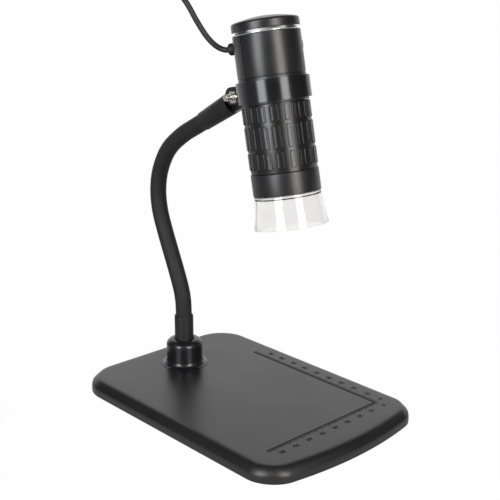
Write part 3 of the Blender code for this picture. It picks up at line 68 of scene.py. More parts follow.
Colour = Triple
Profile = list[tuple[float, float]]
Corners = Sequence[Triple]
Ring = list[bmesh.types.BMVert]
Tool = tuple[str, bpy.types.Mesh]
ARC_REACH = 0.49
SMOOTH_BELOW = 32.0
BEVEL_FROM = 40.0
BEVEL_STEPS = 3
CURVE_STEPS = 24


class Ends(Enum):
    """How the two ends of a turned profile are treated."""

    ON_AXIS = "the profile starts and ends on the axis"
    JOINED = "the profile's last point joins its first, which makes a tube"


class RulerSide(Enum):
    """The two legs of the ruler on the base."""

    LONG = "along the base"
    SHORT = "across the base"


# Geometry helpers


def in_metres(corners: Corners) -> list[Triple]:
    """Corners or places that are written in millimetres, in metres."""
    return [(x * MM, y * MM, z * MM) for x, y, z in corners]


def quarter(steps: int, first: int = 0) -> list[float]:
    """The angles of a quarter turn in even steps, from its first wanted step on."""
    return [math.pi / 2 * i / steps for i in range(first, steps + 1)]


def around(middle: tuple[float, float], radius: float, angle: float) -> tuple[float, float]:
    """The point at an angle round a middle."""
    return middle[0] + radius * math.cos(angle), middle[1] + radius * math.sin(angle)


def quarter_arc(middle: tuple[float, float], radius: float, start: float) -> Profile:
    """Points of a quarter turn round a middle, from an angle on."""
    return [around(middle, radius, start + angle) for angle in quarter(16)]


def rounded_corners(corners: Corners, steps: int = 4, closed: bool = False) -> Profile:
    """Round each corner of a profile with an arc.

    Args:
        corners: Points as (radius, height, size of the arc).
        steps: How many straight pieces an arc has.
        closed: Whether the last corner joins the first.

    Returns:
        The profile's points.
    """
    points: Profile = []
    count = len(corners)
    for index, (radius, height, size) in enumerate(corners):
        here = Vector((radius, height))
        at_end = not closed and index in (0, count - 1)
        if size <= 0 or at_end:
            points.append((radius, height))
            continue
        before = Vector(corners[index - 1][:2]) - here
        after = Vector(corners[(index + 1) % count][:2]) - here
        reach = min(before.length, after.length) * ARC_REACH
        before.normalize()
        after.normalize()
        half = math.acos(max(-1.0, min(1.0, before.dot(after)))) / 2
        run = min(size / math.tan(half), reach)
        start, end = here + before * run, here + after * run
        for i in range(steps + 1):
            share = i / steps
            middle = start.lerp(here, share).lerp(here.lerp(end, share), share)
            points.append((middle.x, middle.y))
    return points


def ring_of(bm: bmesh.types.BMesh, outline: Profile, height: float) -> Ring:
    """Add the vertices of an outline at a height."""
    return [bm.verts.new((x, y, height)) for x, y in outline]


def join_rings(bm: bmesh.types.BMesh, rings: Sequence[Ring]) -> None:
    """Join rings of vertices in turn with faces; a ring of one vertex is a pole."""
    for low, high in zip(rings, rings[1:]):
        count = max(len(low), len(high))
        for i in range(count):
            j = (i + 1) % count
            if len(low) == 1:
                bm.faces.new((low[0], high[j], high[i]))
            elif len(high) == 1:
                bm.faces.new((low[i], low[j], high[0]))
            else:
                bm.faces.new((low[i], low[j], high[j], high[i]))


def turned(profile: Profile, ends: Ends, sides: int = 96) -> bmesh.types.BMesh:
    """Turn a profile round Z.

    Args:
        profile: Points as (radius, height).
        ends: How the profile's ends are treated.
        sides: How many sides the round has.

    Returns:
        The turned mesh.
    """
    bm = bmesh.new()
    rings = []
    for radius, height in profile:
        if radius == 0:
            rings.append([bm.verts.new((0, 0, height))])
            continue
        rings.append(ring_of(bm, circle(radius, sides), height))
    if ends is Ends.JOINED:
        rings.append(rings[0])
    join_rings(bm, rings)
    return bm


def part_turned(loop: Profile, start: float, sweep: float, sides: int) -> bmesh.types.BMesh:
    """Turn a closed loop part of the way round Z and close its two ends.

    Args:
        loop: The loop's points as (radius, height).
        start: The first angle.
        sweep: The angle it turns through.
        sides: How many steps the turn has.

    Returns:
        The mesh.
    """
    bm = bmesh.new()
    sections = []
    for i in range(sides + 1):
        angle = start + sweep * i / sides
        sections.append([bm.verts.new((r * math.cos(angle), r * math.sin(angle), z)) for r, z in loop])
    join_rings(bm, sections)
    bm.faces.new(sections[0])
    bm.faces.new(sections[-1])
    return bm


def layers(outlines: Sequence[tuple[Profile, float]]) -> bmesh.types.BMesh:
    """Join outlines of equal count, each at its height, and fill the first and the last."""
    bm = bmesh.new()
    rings = [ring_of(bm, outline, height) for outline, height in outlines]
    join_rings(bm, rings)
    bm.faces.new(rings[0])
    bm.faces.new(rings[-1])
    return bm


def prism(outline: Profile, low: float, high: float) -> bmesh.types.BMesh:
    """Raise an outline of (x, y) points into a prism between two heights."""
    return layers([(outline, low), (outline, high)])


def spread(radii: Sequence[float]) -> Profile:
    """Points round the middle at even angles, each at its own radius."""
    return [around((0.0, 0.0), radius, math.tau * i / len(radii)) for i, radius in enumerate(radii)]


def circle(radius: float, sides: int) -> Profile:
    """Points of a circle."""
    return spread([radius] * sides)


def rounded_box(length: float, width: float, radius: float, steps: int = 6) -> Profile:
    """Points of a rounded rectangle about the middle."""
    x, y = length / 2, width / 2
    corners = [(x, y, radius), (-x, y, radius), (-x, -y, radius), (x, -y, radius)]
    return rounded_corners(corners, steps, closed=True)


def block(
    sides: tuple[float, float], radius: float, low: float, high: float, steps: int = 6
) -> bmesh.types.BMesh:
    """A block with rounded upright edges between two heights, all in millimetres."""
    return prism(rounded_box(sides[0] * MM, sides[1] * MM, radius * MM, steps), low * MM, high * MM)


def line_length(points: Sequence[Vector]) -> float:
    """The length along a line of points."""
    return sum((last - first).length for first, last in zip(points, points[1:]))


def at_distance(points: Sequence[Vector], distance: float) -> tuple[Vector, Vector]:
    """Find a place along a line.

    Args:
        points: The line's points.
        distance: How far along it the place lies.

    Returns:
        The place and the line's direction there.
    """
    for first, last in zip(points, points[1:]):
        step = (last - first).length
        if distance <= step:
            return first.lerp(last, distance / step), (last - first).normalized()
        distance -= step
    return points[-1].copy(), (points[-1] - points[-2]).normalized()


def stretch(points: Sequence[Vector], start: float, end: float, step: float) -> list[Vector]:
    """Read part of a line again at even steps.

    Args:
        points: The line's points.
        start: Where the part starts along it.
        end: Where the part ends.
        step: The wanted step.

    Returns:
        The part's points.
    """
    count = max(2, round((end - start) / step))
    return [at_distance(points, start + (end - start) * i / count)[0] for i in range(count + 1)]


def between(first: Vector, last: Vector, low: float, high: float, at: float) -> Vector:
    """The place between two points, at the share where a number lies between two others."""
    return first * ((high - at) / (high - low)) + last * ((at - low) / (high - low))


def smooth_line(points: Sequence[Vector], count: int) -> list[Vector]:
    """Draw a smooth curve through points.

    Args:
        points: The points that it passes through.
        count: How many points the result has.

    Returns:
        Evenly spaced points on the curve.
    """
    ends = [2 * points[0] - points[1], *points, 2 * points[-1] - points[-2]]
    fine: list[Vector] = []
    for span in zip(ends, ends[1:], ends[2:], ends[3:]):
        knots = [0.0]
        for first, last in zip(span, span[1:]):
            knots.append(knots[-1] + (last - first).length ** 0.5)
        for i in range(CURVE_STEPS):
            at = knots[1] + (knots[2] - knots[1]) * i / CURVE_STEPS
            near = [between(span[k], span[k + 1], knots[k], knots[k + 1], at) for k in range(3)]
            far = [between(near[k], near[k + 1], knots[k], knots[k + 2], at) for k in range(2)]
            fine.append(between(*far, knots[1], knots[2], at))
    fine.append(points[-1].copy())
    total = line_length(fine)
    return [at_distance(fine, total * i / (count - 1))[0] for i in range(count)]


def level_heading(start: Vector, end: Vector) -> Vector:
    """The level direction from one point to another."""
    heading = end - start
    heading.z = 0
    return heading.normalized()


def tube(path: Sequence[Vector], radius: float, sides: int) -> bmesh.types.BMesh:
    """Run a round tube with closed ends along a path, with a UV map in metres along and round it.

    Args:
        path: The points of its middle line.
        radius: Its radius.
        sides: How many sides it has.

    Returns:
        The mesh.
    """
    bm = bmesh.new()
    uv = bm.loops.layers.uv.new("UVMap")
    direction = (path[1] - path[0]).normalized()
    across = direction.orthogonal().normalized()
    rings, walked, so_far = [], [], 0.0
    for index, point in enumerate(path):
        before, after = path[max(index - 1, 0)], path[min(index + 1, len(path) - 1)]
        heading = (after - before).normalized()
        across = (across - heading * across.dot(heading)).normalized()
        other = heading.cross(across)
        ring = [point + (across * x + other * y) * radius for x, y in circle(1.0, sides)]
        rings.append([bm.verts.new(spot) for spot in ring])
        so_far += (point - path[index - 1]).length if index else 0.0
        walked.append(so_far)
    for index, (low, high) in enumerate(zip(rings, rings[1:])):
        for i in range(sides):
            j = (i + 1) % sides
            face = bm.faces.new((low[i], low[j], high[j], high[i]))
            girth = [math.tau * radius * k / sides for k in (i, i + 1, i + 1, i)]
            along = [walked[index], walked[index], walked[index + 1], walked[index + 1]]
            for corner, u, v in zip(face.loops, along, girth):
                corner[uv].uv = (u, v)
    bm.faces.new(list(reversed(rings[0])))
    bm.faces.new(rings[-1])
    return bm


def as_mesh(
    bm: bmesh.types.BMesh, name: str, place: Matrix | None = None, sharp: float = SMOOTH_BELOW
) -> bpy.types.Mesh:
    """Finish a bmesh: faces out, smooth but for its sharp edges, moved to its place.

    Args:
        bm: The mesh to finish; it is freed.
        name: The name of the result.
        place: Where it goes in the object's frame.
        sharp: The angle in degrees past which an edge stays sharp.

    Returns:
        The finished mesh.
    """
    bmesh.ops.recalc_face_normals(bm, faces=bm.faces)
    mesh = bpy.data.meshes.new(name)
    bm.to_mesh(mesh)
    bm.free()
    if place is not None:
        mesh.transform(place)
    mesh.shade_smooth()
    mesh.set_sharp_from_angle(angle=math.radians(sharp))
    return mesh


def round_mesh(
    corners: Corners, ends: Ends, name: str, place: Matrix | None = None, steps: int = 4, sides: int = 96
) -> bpy.types.Mesh:
    """Round the corners of a section, turn it round Z and finish it.

    Args:
        corners: Points as (radius, height, size of the arc).
        ends: How the section's ends are treated.
        name: The name of the result.
        place: Where it goes in the object's frame.
        steps: How many straight pieces an arc has.
        sides: How many sides the round has.

    Returns:
        The finished mesh.
    """
    profile = rounded_corners(corners, steps, closed=ends is Ends.JOINED)
    return as_mesh(turned(profile, ends, sides), name, place)


def loose_object(mesh: bpy.types.Mesh) -> bpy.types.Object:
    """Put a mesh in the scene as an object at the origin."""
    thing = bpy.data.objects.new(mesh.name, mesh)
    bpy.context.scene.collection.objects.link(thing)
    return thing


def settled(thing: bpy.types.Object, name: str) -> bpy.types.Mesh:
    """Turn an object and its modifiers into a plain mesh, and remove the object.

    Args:
        thing: The object.
        name: The name of the new mesh.

    Returns:
        The mesh.
    """
    bpy.context.view_layer.update()
    evaluated = thing.evaluated_get(bpy.context.evaluated_depsgraph_get())
    mesh = bpy.data.meshes.new_from_object(evaluated)
    mesh.name = name
    bpy.data.objects.remove(thing)
    return mesh


def carved(mesh: bpy.types.Mesh, tools: Sequence[Tool]) -> bpy.types.Mesh:
    """Cut or join a mesh with others.

    Args:
        mesh: The mesh to work on.
        tools: Each operation's name and the other mesh.

    Returns:
        The result.
    """
    name = mesh.name
    thing = loose_object(mesh)
    helpers = []
    for operation, other in tools:
        helpers.append(loose_object(other))
        modifier = thing.modifiers.new("shape", "BOOLEAN")
        modifier.operation = operation
        modifier.solver = "EXACT"
        modifier.object = helpers[-1]
    result = settled(thing, name)
    for helper in helpers:
        bpy.data.objects.remove(helper)
    result.shade_smooth()
    result.set_sharp_from_angle(angle=math.radians(SMOOTH_BELOW))
    return result


def bevelled(mesh: bpy.types.Mesh, width: float) -> bpy.types.Mesh:
    """Round a mesh's sharp edges to a width."""
    name = mesh.name
    thing = loose_object(mesh)
    modifier = thing.modifiers.new("edges", "BEVEL")
    modifier.width = width
    modifier.segments = BEVEL_STEPS
    modifier.limit_method = "ANGLE"
    modifier.angle_limit = math.radians(BEVEL_FROM)
    modifier.harden_normals = True
    return settled(thing, name)


def merged(parts: Sequence[bpy.types.Mesh], name: str) -> bpy.types.Mesh:
    """Gather several meshes into one.

    Args:
        parts: The meshes.
        name: The name of the result.

    Returns:
        The gathered mesh, with the sharp edges of its parts.
    """
    bm = bmesh.new()
    for part in parts:
        bm.from_mesh(part)
    mesh = bpy.data.meshes.new(name)
    bm.to_mesh(mesh)
    bm.free()
    return mesh


# Finishes


class NodeWork:
    """A node tree with short ways to add nodes and join them."""

    def __init__(self, tree: bpy.types.NodeTree) -> None:
        """Take the tree to work on."""
        self.tree = tree

    def add(self, kind: str, **values: object) -> bpy.types.Node:
        """Add a node.

        Args:
            kind: Its type.
            values: Its settings, or its inputs' values by name with _ for a space.

        Returns:
            The node.
        """
        node = self.tree.nodes.new(kind)
        for name, value in values.items():
            if hasattr(node, name):
                setattr(node, name, value)
            else:
                node.inputs[name.replace("_", " ")].default_value = value
        return node

    def join(self, source: bpy.types.NodeSocket, target: bpy.types.NodeSocket) -> None:
        """Join two sockets."""
        self.tree.links.new(source, target)

    def math(self, operation: str, first: object, second: object) -> bpy.types.NodeSocket:
        """Add a sum of two values, each a socket or a number.

        Args:
            operation: The sum's name.
            first: The first value.
            second: The second value.

        Returns:
            The result's socket.
        """
        node = self.add("ShaderNodeMath", operation=operation)
        for socket, value in zip(node.inputs, (first, second)):
            if isinstance(value, bpy.types.NodeSocket):
                self.join(value, socket)
            else:
                socket.default_value = value
        return node.outputs[0]

    def facing(self, source: bpy.types.NodeSocket, direction: Vector) -> bpy.types.NodeSocket:
        """Add how far a vector reaches along a direction."""
        node = self.add("ShaderNodeVectorMath", operation="DOT_PRODUCT")
        node.inputs[1].default_value = direction
        self.join(source, node.inputs[0])
        return node.outputs["Value"]

    def ranged(
        self, source: bpy.types.NodeSocket, low: float, high: float, start: float = 0.0, stop: float = 1.0,
        **settings: object
    ) -> bpy.types.NodeSocket:
        """Map a value from one range to another.

        Args:
            source: The value.
            low: The result at the range's start.
            high: The result at its end.
            start: The range's start.
            stop: The range's end.
            settings: Other settings of the node.

        Returns:
            The mapped value's socket.
        """
        values = {"From_Min": start, "From_Max": stop, "To_Min": low, "To_Max": high}
        node = self.add("ShaderNodeMapRange", **settings, **values)
        self.join(source, node.inputs["Value"])
        return node.outputs["Result"]

    def mixed(
        self, share: bpy.types.NodeSocket, first: bpy.types.NodeSocket, second: bpy.types.NodeSocket
    ) -> bpy.types.NodeSocket:
        """Mix two shaders, with a share for the second."""
        node = self.add("ShaderNodeMixShader")
        for socket, source in zip(node.inputs, (share, first, second)):
            self.join(source, socket)
        return node.outputs[0]


class Wiring(NodeWork):
    """A material's nodes round its one shader."""

    def __init__(self, name: str) -> None:
        """Start a material that has one shader."""
        self.material = bpy.data.materials.new(name)
        self.material.use_nodes = True
        super().__init__(self.material.node_tree)
        self.shader = self.tree.nodes["Principled BSDF"]
        self.place = self.add("ShaderNodeTexCoord")

    def set(self, **values: object) -> None:
        """Set the shader's own inputs, by name with _ for a space."""
        for name, value in values.items():
            self.shader.inputs[name.replace("_", " ")].default_value = value

    def noise(
        self, scale: float, detail: float = 3.0, stretched: Triple = (1, 1, 1), uv: bool = False
    ) -> bpy.types.NodeSocket:
        """Add a noise pattern.

        Args:
            scale: How fine it is, in steps per metre.
            detail: How many finer levels it has.
            stretched: A factor for each axis.
            uv: Whether it follows the UV map instead of the object.

        Returns:
            The pattern's value, from 0 to 1.
        """
        mapping = self.add("ShaderNodeMapping")
        mapping.inputs["Scale"].default_value = stretched
        self.join(self.place.outputs["UV" if uv else "Object"], mapping.inputs["Vector"])
        noise = self.add("ShaderNodeTexNoise", Scale=scale, Detail=detail)
        self.join(mapping.outputs["Vector"], noise.inputs["Vector"])
        return noise.outputs["Fac"]

    def coloured(self, factor: bpy.types.NodeSocket, first: Colour, second: Colour) -> None:
        """Blend the shader's colour from one to another by a pattern."""
        ramp = self.add("ShaderNodeValToRGB")
        ramp.color_ramp.elements[0].color = (*first, 1)
        ramp.color_ramp.elements[1].color = (*second, 1)
        self.join(factor, ramp.inputs["Fac"])
        self.join(ramp.outputs["Color"], self.shader.inputs["Base Color"])

    def roughened(
        self, factor: bpy.types.NodeSocket, low: float, high: float, start: float = 0.3, stop: float = 0.7
    ) -> None:
        """Vary the shader's roughness by a pattern, between two values of the pattern."""
        self.join(self.ranged(factor, low, high, start, stop), self.shader.inputs["Roughness"])

    def bumped(self, heights: Sequence[tuple[bpy.types.NodeSocket, float]]) -> None:
        """Give the shader a bump of several patterns, each with its depth in metres."""
        normal = None
        for height, depth in heights:
            bump = self.add("ShaderNodeBump", Strength=1.0, Distance=depth)
            self.join(height, bump.inputs["Height"])
            if normal is not None:
                self.join(normal, bump.inputs["Normal"])
            normal = bump.outputs["Normal"]
        self.join(normal, self.shader.inputs["Normal"])


@dataclass(frozen=True)
class Moulded:
    """Moulded black plastic with a fine spark-eroded grain and a little handling wear."""

    name: str
    slot: str
    colour: Colour
    roughness: float
    spread: float
    grain: float
    grain_depth: float
    wear: float = 38.0
    paler: float = 1.4
    index: float = 1.5

    def material(self) -> bpy.types.Material:
        """Build the material."""
        wiring = Wiring(self.name)
        cloud = wiring.noise(self.wear, 4.0)
        grain = wiring.noise(self.grain, 2.0)
        wiring.coloured(cloud, self.colour, tuple(min(1.0, c * self.paler + 0.001) for c in self.colour))
        wiring.roughened(cloud, self.roughness - self.spread, self.roughness + self.spread)
        wiring.bumped([(grain, self.grain_depth)])
        wiring.set(IOR=self.index)
        return wiring.material


@dataclass(frozen=True)
class Rubber:
    """Soft black rubber, matt, with fine drawing lines along its length."""

    name: str
    slot: str
    colour: Colour
    roughness: float
    follows_path: bool
    spread: float = 0.05
    lines: float = 1500.0
    line_depth: float = 0.000018
    wear: float = 60.0
    paler: float = 1.5
    index: float = 1.41

    def material(self) -> bpy.types.Material:
        """Build the material."""
        wiring = Wiring(self.name)
        stretched = (0.06, 1.0, 1.0) if self.follows_path else (1.0, 1.0, 0.3)
        lines = wiring.noise(self.lines, 2.0, stretched, self.follows_path)
        cloud = wiring.noise(self.wear, 3.0, uv=self.follows_path)
        wiring.coloured(cloud, self.colour, tuple(c * self.paler + 0.001 for c in self.colour))
        wiring.roughened(cloud, self.roughness - self.spread, self.roughness + self.spread)
        wiring.bumped([(lines, self.line_depth)])
        wiring.set(IOR=self.index)
        return wiring.material


@dataclass(frozen=True)
class Metal:
    """Bare or plated metal with fine turning marks."""

    name: str
    slot: str
    colour: Colour
    roughness: float
    marks: float
    mark_depth: float
    stains: float = 140.0
    darker: float = 0.84
    polish: tuple[float, float] = (0.75, 1.35)

    def material(self) -> bpy.types.Material:
        """Build the material."""
        wiring = Wiring(self.name)
        marks = wiring.noise(self.marks, 3.0, (1.0, 1.0, 4.0))
        stain = wiring.noise(self.stains, 4.0)
        wiring.coloured(stain, self.colour, tuple(c * self.darker for c in self.colour))
        wiring.roughened(marks, *[self.roughness * share for share in self.polish])
        wiring.bumped([(marks, self.mark_depth)])
        wiring.set(Metallic=1.0)
        return wiring.material


@dataclass(frozen=True)
class Clear:
    """Clear polished plastic or glass, with waves too shallow to see but for a glint."""

    name: str
    slot: str
    colour: Colour
    roughness: float
    index: float
    coat: Colour = (1.0, 1.0, 1.0)
    coat_weight: float = 0.0
    waves: float = 90.0
    wave_depth: float = 0.00002
    darker: float = 0.985
    polish: tuple[float, float] = (0.6, 1.4)

    def material(self) -> bpy.types.Material:
        """Build the material."""
        wiring = Wiring(self.name)
        waves = wiring.noise(self.waves, 2.0)
        wiring.coloured(waves, self.colour, tuple(c * self.darker for c in self.colour))
        wiring.roughened(waves, *[self.roughness * share for share in self.polish])
        wiring.bumped([(waves, self.wave_depth)])
        wiring.set(IOR=self.index, Transmission_Weight=1.0, Coat_Weight=self.coat_weight)
        wiring.set(Coat_Tint=(*self.coat, 1))
        return wiring.material


@dataclass(frozen=True)
class Board:
    """A printed circuit board: solder mask over faint tracks."""

    name: str
    slot: str
    mask: Colour
    track: Colour
    tracks: float = 260.0
    track_width: float = 0.03
    track_height: float = 0.00002
    weave: float = 900.0
    darker: float = 0.8
    roughness: tuple[float, float] = (0.3, 0.42)

    def material(self) -> bpy.types.Material:
        """Build the material."""
        wiring = Wiring(self.name)
        bricks = wiring.add("ShaderNodeTexBrick", Scale=self.tracks, Mortar_Size=self.track_width)
        bricks.inputs["Color1"].default_value = (*self.mask, 1)
        bricks.inputs["Color2"].default_value = (*[c * self.darker for c in self.mask], 1)
        bricks.inputs["Mortar"].default_value = (*self.track, 1)
        wiring.join(wiring.place.outputs["Object"], bricks.inputs["Vector"])
        wiring.join(bricks.outputs["Color"], wiring.shader.inputs["Base Color"])
        wiring.roughened(wiring.noise(self.weave, 2.0), *self.roughness, 0.0, 1.0)
        wiring.bumped([(bricks.outputs["Fac"], self.track_height)])
        return wiring.material


@dataclass(frozen=True)
class Print:
    """Matt printing on plastic, slightly uneven at its edges."""

    name: str
    slot: str
    colour: Colour
    specks: float = 4000.0
    speck_depth: float = 0.00001
    paler: float = 1.6
    gloss: float = 0.12
    roughness: tuple[float, float] = (0.75, 0.95)

    def material(self) -> bpy.types.Material:
        """Build the material."""
        wiring = Wiring(self.name)
        speck = wiring.noise(self.specks, 2.0)
        wiring.coloured(speck, self.colour, tuple(c * self.paler for c in self.colour))
        wiring.roughened(speck, *self.roughness, 0.0, 1.0)
        wiring.bumped([(speck, self.speck_depth)])
        wiring.set(Specular_IOR_Level=self.gloss)
        return wiring.material


BLACK = "black_plastic"
GLOSSY = "gloss_black_plastic"
SATIN = Moulded("satin_black", BLACK, (0.007, 0.007, 0.0078), 0.34, 0.03, 4200.0, 0.000003)
GRIP_SATIN = Moulded("grip_satin_black", BLACK, (0.004, 0.004, 0.0045), 0.29, 0.02, 4200.0, 0.0000015)
BASE_SATIN = Moulded("base_satin_black", BLACK, (0.007, 0.007, 0.0078), 0.36, 0.02, 3600.0, 0.0000008)
GLOSS = Moulded("gloss_black", GLOSSY, (0.006, 0.006, 0.007), 0.2, 0.02, 1200.0, 0.0000015)
COLLAR_GLOSS = Moulded("collar_gloss_black", GLOSSY, (0.006, 0.006, 0.007), 0.24, 0.02, 1200.0, 0.000001)
INSIDE = Moulded("inner_black", BLACK, (0.012, 0.012, 0.012), 0.6, 0.05, 2500.0, 0.00001)
PLUG_TONGUE = Moulded("tongue_white", "white_board", (0.72, 0.72, 0.7), 0.4, 0.03, 1500.0, 0.000003)
NECK_RUBBER = Rubber("neck_rubber", "black_rubber", (0.007, 0.0071, 0.0076), 0.62, True)
PLAIN_RUBBER = Rubber("plain_rubber", "black_rubber", (0.007, 0.007, 0.0076), 0.52, False)
CORD_RUBBER = Rubber("cord_rubber", "cable_rubber", (0.008, 0.008, 0.0085), 0.42, True)
PLUG_RUBBER = Rubber("plug_rubber", "cable_rubber", (0.012, 0.012, 0.0125), 0.46, False)
FOOT_RUBBER = Rubber("foot_rubber", "foot_rubber", (0.025, 0.025, 0.026), 0.8, False)
PLATED = Metal("plated_steel", "steel", (0.86, 0.82, 0.76), 0.24, 2200.0, 0.000002)
RAW_STEEL = Metal("raw_steel", "ballast_steel", (0.42, 0.42, 0.43), 0.5, 700.0, 0.00001)
CHROME = Metal("polished_chrome", "chrome", (0.93, 0.93, 0.935), 0.16, 900.0, 0.0000006)
HOOD_CLEAR = Clear("hood_clear", "clear_plastic", (0.975, 0.972, 0.962), 0.03, 1.47)
LENS_GLASS = Clear("coated_lens", "lens_glass", (0.93, 0.96, 0.97), 0.01, 1.6, (0.55, 0.35, 0.9), 0.6)
LED_CLEAR = Clear("led_clear", "white_board", (0.97, 0.96, 0.88), 0.05, 1.5)
GREEN_BOARD = Board("green_board", "green_board", (0.02, 0.13, 0.05), (0.06, 0.2, 0.08))
WHITE_BOARD = Board("white_board", "white_board", (0.82, 0.82, 0.8), (0.7, 0.7, 0.68))
RULER_PRINT = Print("ruler_print", BLACK, (0.008, 0.008, 0.008))
YELLOW_CHIP = Print("lamp_phosphor", "white_board", (0.75, 0.6, 0.1))
Finish = Moulded | Rubber | Metal | Clear | Board | Print

_made: dict[str, bpy.types.Material] = {}


def dressed(finish: Finish) -> bpy.types.Material:
    """The material of a finish, made once."""
    if finish.name not in _made:
        _made[finish.name] = finish.material()
    return _made[finish.name]


def piece_of(mesh: bpy.types.Mesh, finish: Finish, stands_for: Sequence[str] = ()) -> bpy.types.Object:
    """Put a finished mesh in the scene as a piece of the object, which follows no body yet.

    Args:
        mesh: The mesh, already in its place; the piece takes its name.
        finish: What it is made of, unless the mesh brings its materials.
        stands_for: The solids that it replaces.

    Returns:
        The piece.
    """
    if not len(mesh.materials):
        mesh.materials.append(dressed(finish))
    piece = loose_object(mesh)
    if stands_for:
        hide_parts(*stands_for)
    return piece


def show(
    mesh: bpy.types.Mesh, finish: Finish, body: str, stands_for: Sequence[str] = ()
) -> bpy.types.Object:
    """Put a finished mesh in the scene as a piece that moves with one body, and report it."""
    piece = piece_of(mesh, finish, stands_for)
    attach(piece, body)
    LOG.info("%s: %d faces, moves with %s", mesh.name, len(mesh.polygons), body)
    return piece


def dress_solid(node: str, finish: Finish) -> None:
    """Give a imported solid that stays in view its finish."""
    solid = frame["nodes"][node]
    solid.data.materials.clear()
    solid.data.materials.append(dressed(finish))
    LOG.info("%s: keeps its solid, %s", node, finish.name)


def middles(names: Sequence[str]) -> list[Triple]:
    """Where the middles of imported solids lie, on the table."""
    boxes = [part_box(name) for name in names]
    return [((low.x + high.x) / 2, (low.y + high.y) / 2, 0) for low, high in boxes]


# Repeated shapes, made with Geometry Nodes


class Repeater(NodeWork):
    """A Geometry Nodes tree with named inputs, and the mesh that it gives."""

    def __init__(self, name: str) -> None:
        """Start a tree with a geometry input and output."""
        super().__init__(bpy.data.node_groups.new(name, "GeometryNodeTree"))
        self.tree.interface.new_socket("Geometry", in_out="OUTPUT", socket_type="NodeSocketGeometry")
        self.inputs = self.tree.nodes.new("NodeGroupInput")
        self.output = self.tree.nodes.new("NodeGroupOutput")
        self.values: list[tuple[str, object]] = []

    def asks(self, name: str, kind: str, value: object) -> bpy.types.NodeSocket:
        """Add a named input and the value that this object gives it.

        Args:
            name: The input's name.
            kind: Its socket type.
            value: Its value.

        Returns:
            The input's socket inside the tree.
        """
        item = self.tree.interface.new_socket(name, in_out="INPUT", socket_type=kind)
        self.values.append((item.identifier, value))
        return self.inputs.outputs[name]

    def vector(self, **parts: object) -> bpy.types.NodeSocket:
        """Add a vector, with a socket for each of X, Y and Z that it is given."""
        node = self.add("ShaderNodeCombineXYZ")
        for axis, value in parts.items():
            self.join(value, node.inputs[axis])
        return node.outputs[0]

    def shape(self, thing: bpy.types.Object, name: str = "Shape") -> bpy.types.NodeSocket:
        """Add an object as a named input and read its geometry."""
        info = self.add("GeometryNodeObjectInfo")
        self.join(self.asks(name, "NodeSocketObject", thing), info.inputs["Object"])
        return info.outputs["Geometry"]

    def copied(
        self, points: bpy.types.NodeSocket, shape: bpy.types.NodeSocket, **settings: bpy.types.NodeSocket
    ) -> bpy.types.NodeSocket:
        """Put a copy of a shape on each point, turned or scaled by the sockets that it is given."""
        copies = self.add("GeometryNodeInstanceOnPoints")
        self.join(points, copies.inputs["Points"])
        self.join(shape, copies.inputs["Instance"])
        for name, socket in settings.items():
            self.join(socket, copies.inputs[name])
        return copies.outputs["Instances"]

    def mesh(self, name: str, shape: bpy.types.NodeSocket, finish: Finish) -> bpy.types.Mesh:
        """Close the tree with a real mesh in one finish, and run it.

        Args:
            name: The name of the mesh.
            shape: The geometry to give out.
            finish: Its finish.

        Returns:
            The mesh.
        """
        material = self.asks("Finish", "NodeSocketMaterial", dressed(finish))
        realize = self.add("GeometryNodeRealizeInstances")
        paint = self.add("GeometryNodeSetMaterial")
        self.join(shape, realize.inputs["Geometry"])
        self.join(realize.outputs["Geometry"], paint.inputs["Geometry"])
        self.join(material, paint.inputs["Material"])
        self.join(paint.outputs["Geometry"], self.output.inputs["Geometry"])
        carrier = loose_object(bpy.data.meshes.new(name))
        modifier = carrier.modifiers.new(name, "NODES")
        modifier.node_group = self.tree
        for identifier, value in self.values:
            modifier[identifier] = value
        result = settled(carrier, name)
        bpy.data.node_groups.remove(self.tree)
        return result


def round_row(name: str, shape: bpy.types.Mesh, count: int, finish: Finish) -> bpy.types.Mesh:
    """Repeat a shape round Z, evenly.

    Args:
        name: The name of the result.
        shape: The shape, in its first place.
        count: How many there are.
        finish: Its finish.

    Returns:
        One mesh of all the copies.
    """
    pattern = loose_object(shape)
    row = Repeater(name)
    how_many = row.asks("Count", "NodeSocketInt", count)
    source = row.shape(pattern)
    points = row.add("GeometryNodePoints")
    row.join(how_many, points.inputs["Count"])
    step = row.math("DIVIDE", math.tau, how_many)
    index = row.add("GeometryNodeInputIndex").outputs[0]
    turn = row.vector(Z=row.math("MULTIPLY", index, step))
    result = row.mesh(name, row.copied(points.outputs[0], source, Rotation=turn), finish)
    bpy.data.objects.remove(pattern)
    return result


def placed_copies(
    name: str, shape: bpy.types.Mesh, places: Sequence[Triple], finish: Finish
) -> bpy.types.Mesh:
    """Copy a shape to several places.

    Args:
        name: The name of the result.
        shape: The shape, about the origin.
        places: Where the copies go.
        finish: Their finish.

    Returns:
        One mesh of all the copies.
    """
    pattern = loose_object(shape)
    marks = bpy.data.meshes.new("places")
    marks.from_pydata(places, [], [])
    anchor = loose_object(marks)
    group = Repeater(name)
    source, points = group.shape(pattern), group.shape(anchor, "Places")
    result = group.mesh(name, group.copied(points, source), finish)
    bpy.data.objects.remove(pattern)
    bpy.data.objects.remove(anchor)
    return result


# Sub-assemblies


